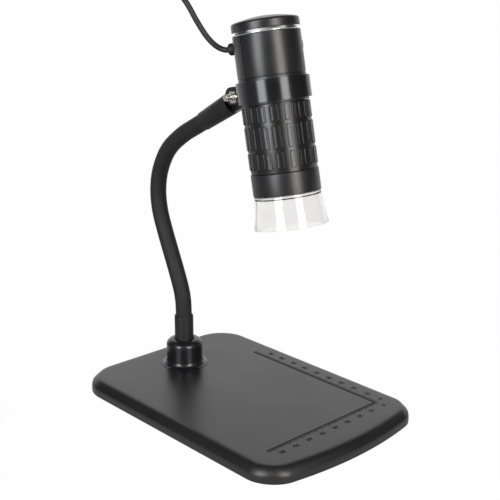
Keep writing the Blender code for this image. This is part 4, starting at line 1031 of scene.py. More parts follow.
@dataclass
class Studio:
    """Camera, two tall soft lights, a white floor and the room's light.

    Lengths are in metres, but for the lens and its sensor, which are in millimetres.
    """

    eye: Vector = field(default_factory=lambda: Vector((0.3921, -0.3600, 0.2555)))
    right: Vector = field(default_factory=lambda: Vector((0.6794, 0.7337, 0.0)))
    back: Vector = field(default_factory=lambda: Vector((0.7022, -0.6502, 0.2900)))
    focal_length: float = 71.65
    sensor_width: float = 36.0
    nearest: float = 0.01
    left_angle: float = math.radians(-37.5)
    right_angle: float = math.radians(34.0)
    light_distance: float = 1.3
    light_width: float = 0.54
    light_foot: float = 0.05
    light_height: float = 1.15
    light_power: float = 17.5
    cool: Colour = (0.97, 0.98, 1.0)
    warm: Colour = (1.0, 0.965, 0.93)
    floor_reach: float = 9.0
    floor_grey: float = 0.86
    floor_share: float = 0.9
    floor_span: tuple[float, float] = (0.3, 1.6)
    floor_near: float = 1.05
    floor_far: float = 1.09
    gloss_span: tuple[float, float] = (0.0, 0.5)
    gloss_front: float = 0.24
    gloss_back: float = 1.6
    gloss_near: float = 0.62
    near_edge: tuple[float, float] = (0.13, 0.19)
    fill: float = 0.25
    dim: float = 0.05
    spread_span: tuple[float, float] = (0.4, 0.92)
    band_foot: tuple[float, float] = (0.45, 0.55)
    band_top: tuple[float, float] = (0.72, 0.82)
    band_side: tuple[float, float] = (-0.2, 0.0)

    def build(self) -> None:
        """Build everything around the object."""
        self.make_camera()
        self.make_lights()
        self.make_floor()
        self.make_room()

    def make_camera(self) -> None:
        """Place the camera."""
        data = bpy.data.cameras.new("camera")
        data.lens = self.focal_length
        data.sensor_width = self.sensor_width
        data.clip_start = self.nearest
        camera = bpy.data.objects.new("camera", data)
        back = self.back.normalized()
        right = self.right.normalized()
        turn = Matrix((right, back.cross(right), back)).transposed().to_4x4()
        camera.matrix_world = Matrix.Translation(self.eye) @ turn
        bpy.context.scene.collection.objects.link(camera)
        bpy.context.scene.camera = camera

    def make_lights(self) -> None:
        """Hang a tall soft light on each side of the camera."""
        towards = math.atan2(self.back.y, self.back.x)
        for turned_by, tint in ((self.left_angle, self.cool), (self.right_angle, self.warm)):
            data = bpy.data.lights.new("soft_light", "AREA")
            data.shape = "RECTANGLE"
            data.size = self.light_width
            data.size_y = self.light_height
            data.energy = self.light_power
            data.color = tint
            light = bpy.data.objects.new("soft_light", data)
            angle = towards + turned_by
            spot = Vector((math.cos(angle), math.sin(angle), 0)) * self.light_distance
            spot.z = self.light_height / 2 + self.light_foot
            facing = Vector((spot.x, spot.y, 0)).normalized()
            across = Vector((-facing.y, facing.x, 0))
            turn = Matrix((across, Vector((0, 0, 1)), facing)).transposed().to_4x4()
            light.matrix_world = Matrix.Translation(spot) @ turn
            bpy.context.scene.collection.objects.link(light)

    def away(self) -> Vector:
        """The level direction that the camera looks in."""
        return Vector((-self.back.x, -self.back.y, 0)).normalized()

    def make_floor(self) -> None:
        """Lay a white floor that keeps a faint shadow.

        In reflections it is white behind the object, lit close to it and dim before it.
        """
        mesh = bpy.data.meshes.new("floor")
        reach = self.floor_reach
        corners = [(-reach, -reach, 0), (reach, -reach, 0), (reach, reach, 0), (-reach, reach, 0)]
        mesh.from_pydata(corners, [], [(0, 1, 2, 3)])
        floor = loose_object(mesh)
        wiring = Wiring("floor")
        path = wiring.add("ShaderNodeLightPath").outputs
        place = wiring.place.outputs["Object"]
        length = wiring.add("ShaderNodeVectorMath", operation="LENGTH")
        wiring.join(place, length.inputs[0])
        distance = length.outputs["Value"]
        facing = wiring.facing(place, self.away())
        behind = wiring.ranged(facing, self.gloss_front, 1.0, *self.gloss_span)
        near = wiring.ranged(distance, self.gloss_near, 0.0, *self.near_edge)
        strength = wiring.add("ShaderNodeMix")
        wiring.join(path["Is Glossy Ray"], strength.inputs["Factor"])
        seen = wiring.ranged(distance, self.floor_near, self.floor_far, *self.floor_span)
        wiring.join(seen, strength.inputs["A"])
        wiring.join(wiring.math("MAXIMUM", behind, near), strength.inputs["B"])
        bright = wiring.add("ShaderNodeEmission")
        wiring.join(strength.outputs["Result"], bright.inputs["Strength"])
        matt = wiring.add("ShaderNodeBsdfDiffuse", Color=(*[self.floor_grey] * 3, 1))
        direct = wiring.math("MAXIMUM", path["Is Camera Ray"], path["Is Transmission Ray"])
        white = wiring.math("MAXIMUM", direct, path["Is Glossy Ray"])
        share = wiring.ranged(white, 0.0, self.floor_share)
        mixed = wiring.mixed(share, matt.outputs["BSDF"], bright.outputs["Emission"])
        wiring.join(mixed, wiring.tree.nodes["Material Output"].inputs["Surface"])
        wiring.tree.nodes.remove(wiring.shader)
        mesh.materials.append(wiring.material)

    def make_room(self) -> None:
        """Light the room, white where it is seen.

        In reflections it is white behind the object and in a raised band, and dim before it.
        """
        world = bpy.data.worlds.new("room")
        bpy.context.scene.world = world
        world.use_nodes = True
        room = NodeWork(world.node_tree)
        room.tree.nodes.clear()
        output = room.add("ShaderNodeOutputWorld")
        path = room.add("ShaderNodeLightPath").outputs
        direction = room.add("ShaderNodeTexCoord").outputs["Generated"]
        behind = room.facing(direction, self.away())
        smooth = {"interpolation_type": "SMOOTHSTEP"}
        wide = room.ranged(behind, self.dim, self.gloss_back, *self.spread_span, **smooth)
        split = room.add("ShaderNodeSeparateXYZ")
        room.join(direction, split.inputs["Vector"])
        height = split.outputs["Z"]
        foot = room.ranged(height, 0.0, 1.0, *self.band_foot)
        top = room.ranged(height, 1.0, 0.0, *self.band_top)
        side = room.ranged(behind, 1.0, 0.0, *self.band_side)
        band = room.math("MULTIPLY", room.math("MULTIPLY", foot, top), side)
        gloss = room.add("ShaderNodeBackground")
        room.join(room.math("MAXIMUM", band, wide), gloss.inputs["Strength"])
        fill = room.add("ShaderNodeBackground", Strength=self.fill)
        white = room.add("ShaderNodeBackground", Color=(1, 1, 1, 1), Strength=1.0)
        seen = room.math("MAXIMUM", path["Is Camera Ray"], path["Is Transmission Ray"])
        lit = room.mixed(path["Is Glossy Ray"], fill.outputs["Background"], gloss.outputs["Background"])
        shown = room.mixed(seen, lit, white.outputs["Background"])
        room.join(shown, output.inputs["Surface"])
        bpy.context.scene.view_settings.view_transform = "Standard"


@dataclass
class Places:
    """The frames that the moving parts are built in."""

    tilt: float = math.radians(11.6)
    ear_reach: float = 24.42 * MM
    ring_rise: float = 0.72 * MM
    ring_station: float = 35.7 * MM
    sleeve_angle: float = math.radians(28.3)
    grommet_angle: float = math.radians(209.2)
    grommet_station: float = 12.0 * MM

    def joint(self, name: str) -> dict:
        """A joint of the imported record, by name."""
        return next(j for j in frame["joints"] if j["name"] == name)

    @property
    def bolt(self) -> Vector:
        """The middle of the clamp's bolt."""
        return Vector(self.joint("clamp_tilt")["pos_m"])

    @property
    def clamp(self) -> Matrix:
        """The clamp's frame: on the bolt, with X towards the barrel and Z along its axis."""
        return Matrix.Translation(self.bolt) @ Matrix.Rotation(-self.tilt, 4, "Y")

    @property
    def scope(self) -> Matrix:
        """The microscope's frame, in the middle of the clamp ring."""
        return self.clamp @ Matrix.Translation((self.ear_reach, 0, self.ring_rise))

    @property
    def sleeve(self) -> Matrix:
        """The upper sleeve's frame: on the bolt, with Z along the neck's end."""
        return Matrix.Translation(self.bolt) @ Matrix.Rotation(math.pi / 2 - self.sleeve_angle, 4, "Y")

    def down(self, station: float) -> float:
        """A station's height on the microscope's axis."""
        return self.ring_station - station

    def section(self, corners: Corners) -> list[Triple]:
        """Corners whose second number is a station, with the station's height in its place."""
        return [(radius, self.down(station), size) for radius, station, size in corners]

    def outward(self, angle: float, station: float) -> Matrix:
        """The frame at a station whose Z points out of the barrel at an angle.

        Args:
            angle: The angle round the barrel.
            station: How far down the axis from the cap.

        Returns:
            The frame.
        """
        turn = Matrix.Rotation(angle, 4, "Z") @ Matrix.Rotation(math.pi / 2, 4, "Y")
        return self.scope @ Matrix.Translation((0, 0, self.down(station))) @ turn

    def grommet(self) -> Matrix:
        """The grommet's frame on the barrel."""
        return self.outward(self.grommet_angle, self.grommet_station)


PLACES = Places()


@dataclass
class Base:
    """The flat ruled base: shell, feet, screws and the ruler's marks."""

    length: float = 166.3 * MM
    width: float = 118.5 * MM
    bow: float = 7.8 * MM
    front_radius: float = 15.0 * MM
    rear_radius: float = 22.3 * MM
    height: float = 8.9 * MM
    edge_round: float = 5.9 * MM
    edge_angles: tuple[float, ...] = (0, 6, 12, 18, 23, 67, 72, 78, 84, 90)
    flat_inset: float = 3.0 * MM
    lift: float = 0.35 * MM
    soft: float = 0.3 * MM
    wall: float = 2.5 * MM
    top_wall: float = 2.3 * MM
    corner: tuple[float, float] = (61.65 * MM, 42.0 * MM)
    long_ticks: int = 101
    short_ticks: int = 85
    marks: tuple[tuple[str, float], ...] = (
        ("Pitch", 1.0 * MM), ("Short tick", 2.1 * MM), ("Middle tick", 2.7 * MM), ("Long tick", 3.2 * MM),
        ("Stroke", 0.4 * MM), ("Thickness", 0.03 * MM))
    mark_height: float = 0.005 * MM
    long_figures: int = 10
    short_figures: int = 9
    long_first: tuple[float, float] = (61.05 * MM, 47.9 * MM)
    short_first: tuple[float, float] = (67.55 * MM, 43.0 * MM)
    figure_size: float = 2.5 * MM * 1.45
    figure_depth: float = 0.015 * MM
    figure_boldness: float = 0.09 * MM
    figure_height: float = 0.02 * MM

    def build(self) -> None:
        """Build the base."""
        self.make_shell()
        self.make_ruler()
        self.make_feet()
        self.make_screws()
        dress_solid("base_bottom_cover", SATIN)
        dress_solid("ballast_plate", RAW_STEEL)

    def outline(self, inset: float) -> Profile:
        """The base's outline, drawn in by an inset.

        Args:
            inset: How far it is drawn in.

        Returns:
            The outline's points.
        """
        half_x, half_y = self.length / 2 - inset, self.width / 2 - inset
        front, rear = self.front_radius - inset, self.rear_radius - inset
        low, high = -half_y + front, half_y - front
        points = quarter_arc((half_x - front, low), front, -math.pi / 2)
        points += [(half_x, low + (high - low) * i / 28) for i in range(1, 28)]
        points += quarter_arc((half_x - front, high), front, 0.0)
        points += quarter_arc((-half_x + rear, half_y - rear), rear, math.pi / 2)
        points += quarter_arc((-half_x + rear, rear - half_y), rear, math.pi)
        moved = []
        for x, y in points:
            push = self.bow * (1 - (2 * y / self.width) ** 2) if x > 0 else 0.0
            moved.append((x + push - self.bow / 2, y))
        return moved

    def make_shell(self) -> None:
        """The moulded shell: flat top, rounded edge, short skirt and a hollow underside."""
        steps = [(self.outline(self.wall), self.lift), (self.outline(self.soft), self.lift)]
        steps.append((self.outline(0), self.lift + self.soft))
        start = self.height - self.edge_round
        for angle in map(math.radians, self.edge_angles):
            height = start + self.edge_round * math.sin(angle)
            steps.append((self.outline(self.edge_round * (1 - math.cos(angle))), height))
        steps.append((self.outline(self.edge_round + self.flat_inset), self.height))
        top = layers(steps)
        caps = [f for f in top.faces if len(f.verts) > 8]
        cap = next(f for f in caps if abs(f.calc_center_median().z - self.lift) < 1e-6)
        bmesh.ops.delete(top, geom=[cap], context="FACES_ONLY")
        rim = [e for e in top.edges if e.is_boundary]
        ceiling = self.height - self.top_wall - self.lift
        raised = bmesh.ops.extrude_edge_only(top, edges=rim)["geom"]
        verts = [g for g in raised if isinstance(g, bmesh.types.BMVert)]
        bmesh.ops.translate(top, vec=(0, 0, ceiling), verts=verts)
        bmesh.ops.contextual_create(top, geom=[e for e in top.edges if e.is_boundary])
        show(as_mesh(top, "shell_moulding", sharp=40), BASE_SATIN, "stand", ["base_shell"])

    def make_ruler(self) -> None:
        """Two ruled legs with a tick at each millimetre and a figure at each ten."""
        parts = []
        for side in RulerSide:
            parts.append(self.ticks(side))
            parts += self.figures(side)
        mesh = merged(parts, "ruler_marks")
        mesh.materials.clear()
        show(mesh, RULER_PRINT, "stand")

    def ticks(self, side: RulerSide) -> bpy.types.Mesh:
        """One leg's line and ticks.

        Args:
            side: Which leg.

        Returns:
            The mesh, in place.
        """
        leg = Repeater("ruler_leg")
        along = side is RulerSide.LONG
        how_many = leg.asks("Count", "NodeSocketInt", self.long_ticks if along else self.short_ticks)
        sizes = [leg.asks(name, "NodeSocketFloat", size) for name, size in self.marks]
        pitch, short, middle, long, stroke, thick = sizes
        line = leg.add("GeometryNodeMeshLine")
        leg.join(how_many, line.inputs["Count"])
        leg.join(leg.vector(X=pitch), line.inputs["Offset"])
        index = leg.add("GeometryNodeInputIndex").outputs[0]
        on_five = leg.math("LESS_THAN", leg.math("MODULO", index, 5.0), 0.5)
        on_ten = leg.math("LESS_THAN", leg.math("MODULO", index, 10.0), 0.5)
        extra = leg.math("MULTIPLY", on_five, leg.math("SUBTRACT", middle, short))
        more = leg.math("MULTIPLY", on_ten, leg.math("SUBTRACT", long, middle))
        length = leg.math("ADD", short, leg.math("ADD", extra, more))
        cube = leg.add("GeometryNodeMeshCube")
        raised = leg.add("GeometryNodeTransform", Translation=(0, 0.5, 0.5))
        leg.join(cube.outputs["Mesh"], raised.inputs["Geometry"])
        size = leg.vector(X=stroke, Y=length, Z=thick)
        copies = leg.copied(line.outputs["Mesh"], raised.outputs["Geometry"], Scale=size)
        rule = leg.add("GeometryNodeMeshCube")
        reach = leg.math("MULTIPLY", pitch, leg.math("SUBTRACT", how_many, 1.0))
        width = leg.math("MULTIPLY", stroke, 1.6)
        leg.join(leg.vector(X=leg.math("ADD", reach, stroke), Y=width, Z=thick), rule.inputs["Size"])
        moved = leg.add("GeometryNodeTransform")
        leg.join(rule.outputs["Mesh"], moved.inputs["Geometry"])
        halfway = leg.vector(X=leg.math("MULTIPLY", reach, 0.5), Z=leg.math("MULTIPLY", thick, 0.5))
        leg.join(halfway, moved.inputs["Translation"])
        both = leg.add("GeometryNodeJoinGeometry")
        leg.join(moved.outputs["Geometry"], both.inputs["Geometry"])
        leg.join(copies, both.inputs["Geometry"])
        mesh = leg.mesh("ruler_leg", both.outputs["Geometry"], RULER_PRINT)
        place = Matrix.Translation((*self.corner, self.height + self.mark_height))
        flip = Matrix.Diagonal((-1, 1, 1, 1)) if along else Matrix.Rotation(-math.pi / 2, 4, "Z")
        mesh.transform(place @ flip)
        if along:
            mesh.flip_normals()
        return mesh

    def figures(self, side: RulerSide) -> list[bpy.types.Mesh]:
        """One leg's figures, counted in tens of millimetres from the corner.

        Args:
            side: Which leg.

        Returns:
            The figures' meshes, in place.
        """
        made = []
        along = side is RulerSide.LONG
        x, y = self.long_first if along else self.short_first
        turn = Matrix.Identity(4) if along else Matrix.Rotation(-math.pi / 2, 4, "Z")
        for number in range(self.long_figures if along else self.short_figures):
            curve = bpy.data.curves.new("figure", "FONT")
            curve.body = str(number * 10)
            curve.size = self.figure_size
            curve.align_x = curve.align_y = "CENTER"
            curve.extrude = self.figure_depth
            curve.offset = self.figure_boldness
            curve.resolution_u = 3
            thing = bpy.data.objects.new("figure", curve)
            bpy.context.scene.collection.objects.link(thing)
            mesh = settled(thing, "figure")
            mesh.materials.clear()
            run = number * 10 * MM
            spot = (x - run, y) if along else (x, y - run)
            mesh.transform(Matrix.Translation((*spot, self.height + self.figure_height)) @ turn)
            made.append(mesh)
        return made

    def make_feet(self) -> None:
        """Four rubber feet with a soft edge and a moulded ring."""
        corners = [(0, 0, 0), (4.1, 0, 0), (4.4, 0.2, 0), (4.7, 0, 0)]
        corners += [(6.0, 0, 0.25), (6.0, 0.8, 0), (0, 0.8, 0)]
        shape = round_mesh(in_metres(corners), Ends.ON_AXIS, "foot", steps=3, sides=48)
        names = [f"foot_{i}" for i in range(1, 5)]
        show(placed_copies("rubber_feet", shape, middles(names), FOOT_RUBBER), FOOT_RUBBER, "stand", names)

    def make_screws(self) -> None:
        """Four pan-head screws with a cross recess, sunk in the bottom cover."""
        corners = [(0, 1.1, 0), (2.5, 1.1, 0.3), (2.5, 1.8, 0), (1.0, 1.8, 0), (1.0, 5.8, 0), (0, 5.8, 0)]
        shape = round_mesh(in_metres(corners), Ends.ON_AXIS, "screw", steps=3, sides=32)
        cross = []
        for sides in ((2.6, 0.55), (0.55, 2.6)):
            cross.append(("DIFFERENCE", as_mesh(block(sides, 0.1, 0.1, 1.55, 2), "cross")))
        shape = carved(shape, cross)
        names = [f"cover_screw_{i}" for i in range(1, 5)]
        show(placed_copies("cover_screws", shape, middles(names), PLATED), PLATED, "stand", names)


@dataclass
class NeckFoot:
    """The collar on the base, with the sleeve that stands in it."""

    x: float = -56.5 * MM
    seat: float = 9.0 * MM
    radius: float = 11.0 * MM
    flare: float = 3.2 * MM
    shoulder: float = 21.4 * MM
    top: float = 25.0 * MM
    sleeve_radius: float = 5.75 * MM
    sleeve_bore: float = 4.96 * MM
    sleeve_round: float = 0.35 * MM
    gap: float = 0.12 * MM
    lip: float = 0.5 * MM
    floor: float = 11.7 * MM
    stud_hole: float = 3.3 * MM

    def build(self) -> None:
        """Build the collar and the sleeve."""
        place = Matrix.Translation((self.x, 0, 0))
        bore = self.sleeve_radius + self.gap
        loop: Profile = [(self.stud_hole, self.seat), (self.radius + self.flare, self.seat)]
        for angle in quarter(12):
            reach = self.flare * (1 - math.sin(angle))
            loop.append((self.radius + reach, self.seat + self.gap + self.flare * (1 - math.cos(angle))))
        span = self.radius - bore - self.lip
        for angle in quarter(16):
            radius = self.radius - span * (1 - math.cos(angle))
            loop.append((radius, self.shoulder + (self.top - self.shoulder) * math.sin(angle)))
        loop += [(bore, self.top - self.lip), (bore, self.floor), (self.stud_hole, self.floor)]
        collar = as_mesh(turned(loop, Ends.JOINED), "collar_moulding", place)
        show(collar, COLLAR_GLOSS, "stand", ["neck_collar"])
        low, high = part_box("lower_sleeve")
        inner, outer, soft = self.sleeve_bore, self.sleeve_radius, self.sleeve_round
        corners = [(inner, low.z, 0), (outer, low.z, 0), (outer, high.z, soft), (inner, high.z, soft / 2)]
        sleeve = round_mesh(corners, Ends.JOINED, "lower_neck_sleeve", place, sides=64)
        show(sleeve, PLAIN_RUBBER, "stand", ["lower_sleeve"])
        dress_solid("collar_nut", PLATED)
        dress_solid("neck_stud", PLATED)


@dataclass
class Gooseneck:
    """The bendable neck under one smooth rubber skin, cut halfway between its joints."""

    radius: float = 4.92 * MM
    foot: float = 12.0 * MM
    collar_top: float = 25.0 * MM
    collar_x: float = -56.5 * MM
    stem: float = 20.0 * MM
    straight: tuple[float, float] = (42.5 * MM, 36.5 * MM)
    skin_end: float = 9.8 * MM
    first_half_bend: float = 3.2 * MM
    half_bend: float = 9.0 * MM
    line_points: int = 400
    skin_step: float = 1.0 * MM
    skin_sides: int = 40
    shares: tuple[tuple[float, float], ...] = (
        (0.0, 0.0), (0.0, 0.0552), (0.0, 0.1083), (-0.0078, 0.1585), (-0.0331, 0.1986), (-0.1179, 0.2738),
        (-0.2143, 0.3490), (-0.3088, 0.4242), (-0.3877, 0.5005), (-0.4121, 0.5797), (-0.3634, 0.6629),
        (-0.2124, 0.7502), (0.0351, 0.8184))
    joints: tuple[str, ...] = (
        "neck_lower_bend", "neck_side_bend", "neck_lower_bend_middle", "neck_side_bend_middle",
        "neck_upper_bend", "neck_side_bend_end", "neck_upper_bend_end")

    def line(self) -> list[Vector]:
        """The neck's middle line from the collar to the bolt."""
        bolt = PLACES.bolt
        along = Vector((math.cos(PLACES.sleeve_angle), 0, math.sin(PLACES.sleeve_angle)))
        reach, rise = bolt.x - self.collar_x, bolt.z - self.collar_top
        points = [Vector((self.collar_x, 0, self.foot))]
        start = Vector((self.collar_x, 0, self.collar_top))
        points += [start + Vector((reach * x, 0, rise * z)) for x, z in self.shares]
        points += [bolt - along * back for back in (*self.straight, self.stem)]
        points.append(bolt)
        return smooth_line(points, self.line_points)

    def build(self) -> None:
        """Build the skin's lengths, one round each joint."""
        line = self.line()
        total = line_length(line)
        pivots = [Vector(PLACES.joint(name)["pos_m"]) for name in self.joints]
        stops = []
        for pivot in pivots:
            nearest = min(range(len(line)), key=lambda i: (line[i] - pivot).length)
            stops.append(line_length(line[: nearest + 1]))
        halfway = [(low + high) / 2 for low, high in zip(stops, stops[1:])]
        cuts = [0.0, *halfway, total - self.stem - self.skin_end]
        for index, (start, end) in enumerate(zip(cuts, cuts[1:])):
            path = stretch(line, start, end, self.skin_step)
            mesh = as_mesh(tube(path, self.radius, self.skin_sides), f"neck_skin_{index + 1}", sharp=50)
            solids = [f"neck_link_{index + 1}"] + (["neck_link_8"] if index == len(pivots) - 1 else [])
            piece = piece_of(mesh, NECK_RUBBER, solids)
            heading = at_distance(line, stops[index])[1]
            below = self.first_half_bend if index == 0 else self.half_bend
            lower = "stand" if index == 0 else f"neck_{index + 1}"
            first, last = pivots[index] - heading * below, pivots[index] + heading * self.half_bend
            tuple(first)
            tuple(last)
            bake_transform(piece)
            LOG.info("%s: bends between %s and neck_%d", mesh.name, lower, index + 2)


@dataclass
class Clamp:
    """The upper sleeve, the lug between the ears, the split ring, and its bolt and nut."""

    sleeve_radius: float = 5.4 * MM
    sleeve_flare: float = 0.7 * MM
    sleeve_start: float = 36.5 * MM
    sleeve_end: float = 9.4 * MM
    sleeve_bore: float = 4.96 * MM
    stem_radius: float = 4.72 * MM
    stem_start: float = 29.1 * MM
    lug_half: float = 1.8 * MM
    lug_width: float = 11.8 * MM
    lug_overhang: float = 4.0 * MM
    lug_round: float = 2.5 * MM
    inner: float = 18.05 * MM
    wall: float = 1.25 * MM
    half_height: float = 5.6 * MM
    ear_in: float = 2.1 * MM
    ear_out: float = 5.0 * MM
    ear_round: float = 4.8 * MM
    ear_overhang: float = 3.9 * MM
    hole_radius: float = 2.0 * MM
    hole_reach: float = 9.0 * MM
    bolt_radius: float = 1.75 * MM
    bolt_sides: int = 36
    tip: float = 12.9 * MM
    thread_end: float = 6.0 * MM
    thread_pitch: float = 0.6 * MM
    thread_depth: float = 0.11 * MM
    head_seat: float = 5.3 * MM
    head_radius: float = 3.0 * MM
    head_height: float = 3.0 * MM
    socket_half: float = 1.5 * MM
    nut_half: float = 6.2 * MM / 2
    nut_low: float = -7.7 * MM
    nut_high: float = -5.3 * MM
    nut_sides: int = 72

    def build(self) -> None:
        """Build all the clamp's pieces."""
        self.make_sleeve()
        self.make_lug()
        self.make_ring()
        self.make_bolt()
        self.make_nut()

    def make_sleeve(self) -> None:
        """The plain sleeve over the neck's upper end."""
        inner, outer, wide = self.sleeve_bore, self.sleeve_radius, self.sleeve_radius + self.sleeve_flare
        start, end = -self.sleeve_start, -self.sleeve_end
        corners = [(inner, start, 0.1 * MM), (outer, start, 0.35 * MM)]
        corners += [(wide, end, 0.3 * MM), (inner, end, 0.1 * MM)]
        mesh = round_mesh(corners, Ends.JOINED, "upper_neck_sleeve", PLACES.sleeve, sides=64)
        show(mesh, PLAIN_RUBBER, "neck_8", ["upper_sleeve"])

    def hole(self, turn: Matrix) -> Tool:
        """The cut for the bolt's hole."""
        cutter = prism(circle(self.hole_radius, 32), -self.hole_reach, self.hole_reach)
        return "DIFFERENCE", as_mesh(cutter, "hole", turn)

    def make_lug(self) -> None:
        """The flat lug between the ears, in one with its round stem."""
        top, half, wide = -self.sleeve_end, self.stem_radius * 0.92, self.lug_width / 2
        start, radius = -self.stem_start, self.stem_radius
        line = [(0, start), (radius, start), (radius, top), (0, top)]
        stem = as_mesh(turned(line, Ends.ON_AXIS, 48), "neck_lug")
        shoulder, root, over = top + 0.3 * MM, top - 1 * MM, self.lug_overhang
        near = [(root, -half, 0), (shoulder, -half, 0)]
        near += [(shoulder, -wide, 0.4 * MM), (over, -wide, self.lug_round)]
        far = [(x, -y, size) for x, y, size in reversed(near)]
        flat = prism(rounded_corners(near + far, 8, closed=True), -self.lug_half, self.lug_half)
        turn = Matrix.Rotation(-math.pi / 2, 4, "Y") @ Matrix.Rotation(-math.pi / 2, 4, "X")
        hole = self.hole(Matrix.Rotation(-math.pi / 2, 4, "X"))
        mesh = carved(stem, [("UNION", as_mesh(flat, "plate", turn)), hole])
        mesh = bevelled(mesh, 0.25 * MM)
        mesh.transform(PLACES.sleeve)
        show(mesh, GLOSS, "neck_8", ["neck_end_lug"])

    def make_ring(self) -> None:
        """The split ring, in one with its two ears."""
        outer = self.inner + self.wall
        slot = math.asin((self.ear_in + 0.3 * MM) / self.inner)
        high = self.half_height
        loop = [(self.inner, -high), (outer, -high), (outer, high), (self.inner, high)]
        ring = part_turned(loop, -math.pi + slot, math.tau - 2 * slot, 120)
        rise, reach = PLACES.ring_rise, self.ear_round
        centre = Matrix.Translation((PLACES.ear_reach, 0, rise))
        root = PLACES.ear_reach - self.inner - 0.3 * MM
        turns = [math.pi / 2 + math.pi * i / 40 for i in range(41)]
        outline: Profile = [(root, rise + reach)]
        outline += [around((-self.ear_overhang, rise), reach, angle) for angle in turns]
        outline += [(root, rise - reach)]
        upright = Matrix.Rotation(math.pi / 2, 4, "X")
        sides = ((self.ear_in, self.ear_out), (-self.ear_out, -self.ear_in))
        tools = [("UNION", as_mesh(prism(outline, *side), "ear", upright)) for side in sides]
        tools.append(self.hole(upright))
        mesh = bevelled(carved(as_mesh(ring, "split_ring", centre), tools), 0.32 * MM)
        mesh.transform(PLACES.clamp)
        show(mesh, GLOSS, "clamp", ["clamp_ring"])

    def make_bolt(self) -> None:
        """The bolt: threaded tip on the near side, round head with a hexagon socket on the far side."""
        sides = self.bolt_sides
        start, end = -self.tip, -self.thread_end
        rows = round((end - start) / self.thread_pitch * 8)
        bm = bmesh.new()
        rings = [[bm.verts.new((0, 0, start))]]
        for row in range(rows + 1):
            z = start + (end - start) * row / rows
            fade = min(1.0, row / 6, (rows - row) / 6)
            core = self.bolt_radius - max(0.0, 0.3 * MM - (z - start))
            radii = []
            for i in range(sides):
                phase = (z / self.thread_pitch - i / sides) % 1.0
                radii.append(core - self.thread_depth * (1 - abs(2 * phase - 1)) * fade)
            rings.append(ring_of(bm, spread(radii), z))
        seat, head, top = self.head_seat, self.head_radius, self.head_seat + self.head_height
        socket = self.socket_half / math.cos(math.pi / 6)
        corners = [(self.bolt_radius, end, 0), (self.bolt_radius, seat, 0), (head, seat, 0.1 * MM)]
        corners += [(head, top, 0.35 * MM), (socket + 0.2 * MM, top, 0)]
        tail = rounded_corners(corners, 3)
        rings += [ring_of(bm, circle(radius, sides), z) for radius, z in tail[1:]]
        recess = spread(self.hexagon(self.socket_half, sides))
        rings += [ring_of(bm, recess, z) for z in (top - 0.1 * MM, seat + self.head_height / 2)]
        join_rings(bm, rings)
        bm.faces.new(rings[-1])
        across = Matrix.Rotation(-math.pi / 2, 4, "X")
        mesh = as_mesh(bm, "threaded_bolt", across, 38)
        mesh.transform(PLACES.clamp)
        show(mesh, PLATED, "clamp", ["clamp_bolt"])

    def hexagon(self, half: float, count: int) -> list[float]:
        """A hexagon's radii at even angles, from half its width across the flats."""
        angles = [math.tau * i / count for i in range(count)]
        return [half / math.cos(angle % (math.pi / 3) - math.pi / 6) for angle in angles]

    def make_nut(self) -> None:
        """The hexagon nut, its corners turned off on both faces."""
        low, high, half, soft = self.nut_low, self.nut_high, self.nut_half, 0.28 * MM
        sides, bore = self.nut_sides, circle(self.bolt_radius + 0.06 * MM, self.nut_sides)
        bm = bmesh.new()
        rings = []
        for z, most in ((low, 0.99), (low + soft, 1.2), (high - soft, 1.2), (high, 0.99)):
            radii = [min(radius, half * most) for radius in self.hexagon(half, sides)]
            rings.append(ring_of(bm, spread(radii), z))
        rings += [ring_of(bm, bore, high), ring_of(bm, bore, low)]
        rings.append(rings[0])
        join_rings(bm, rings)
        mesh = as_mesh(bm, "hexagon_nut", PLACES.clamp @ Matrix.Rotation(-math.pi / 2, 4, "X"), 24)
        show(mesh, PLATED, "clamp", ["clamp_nut"])


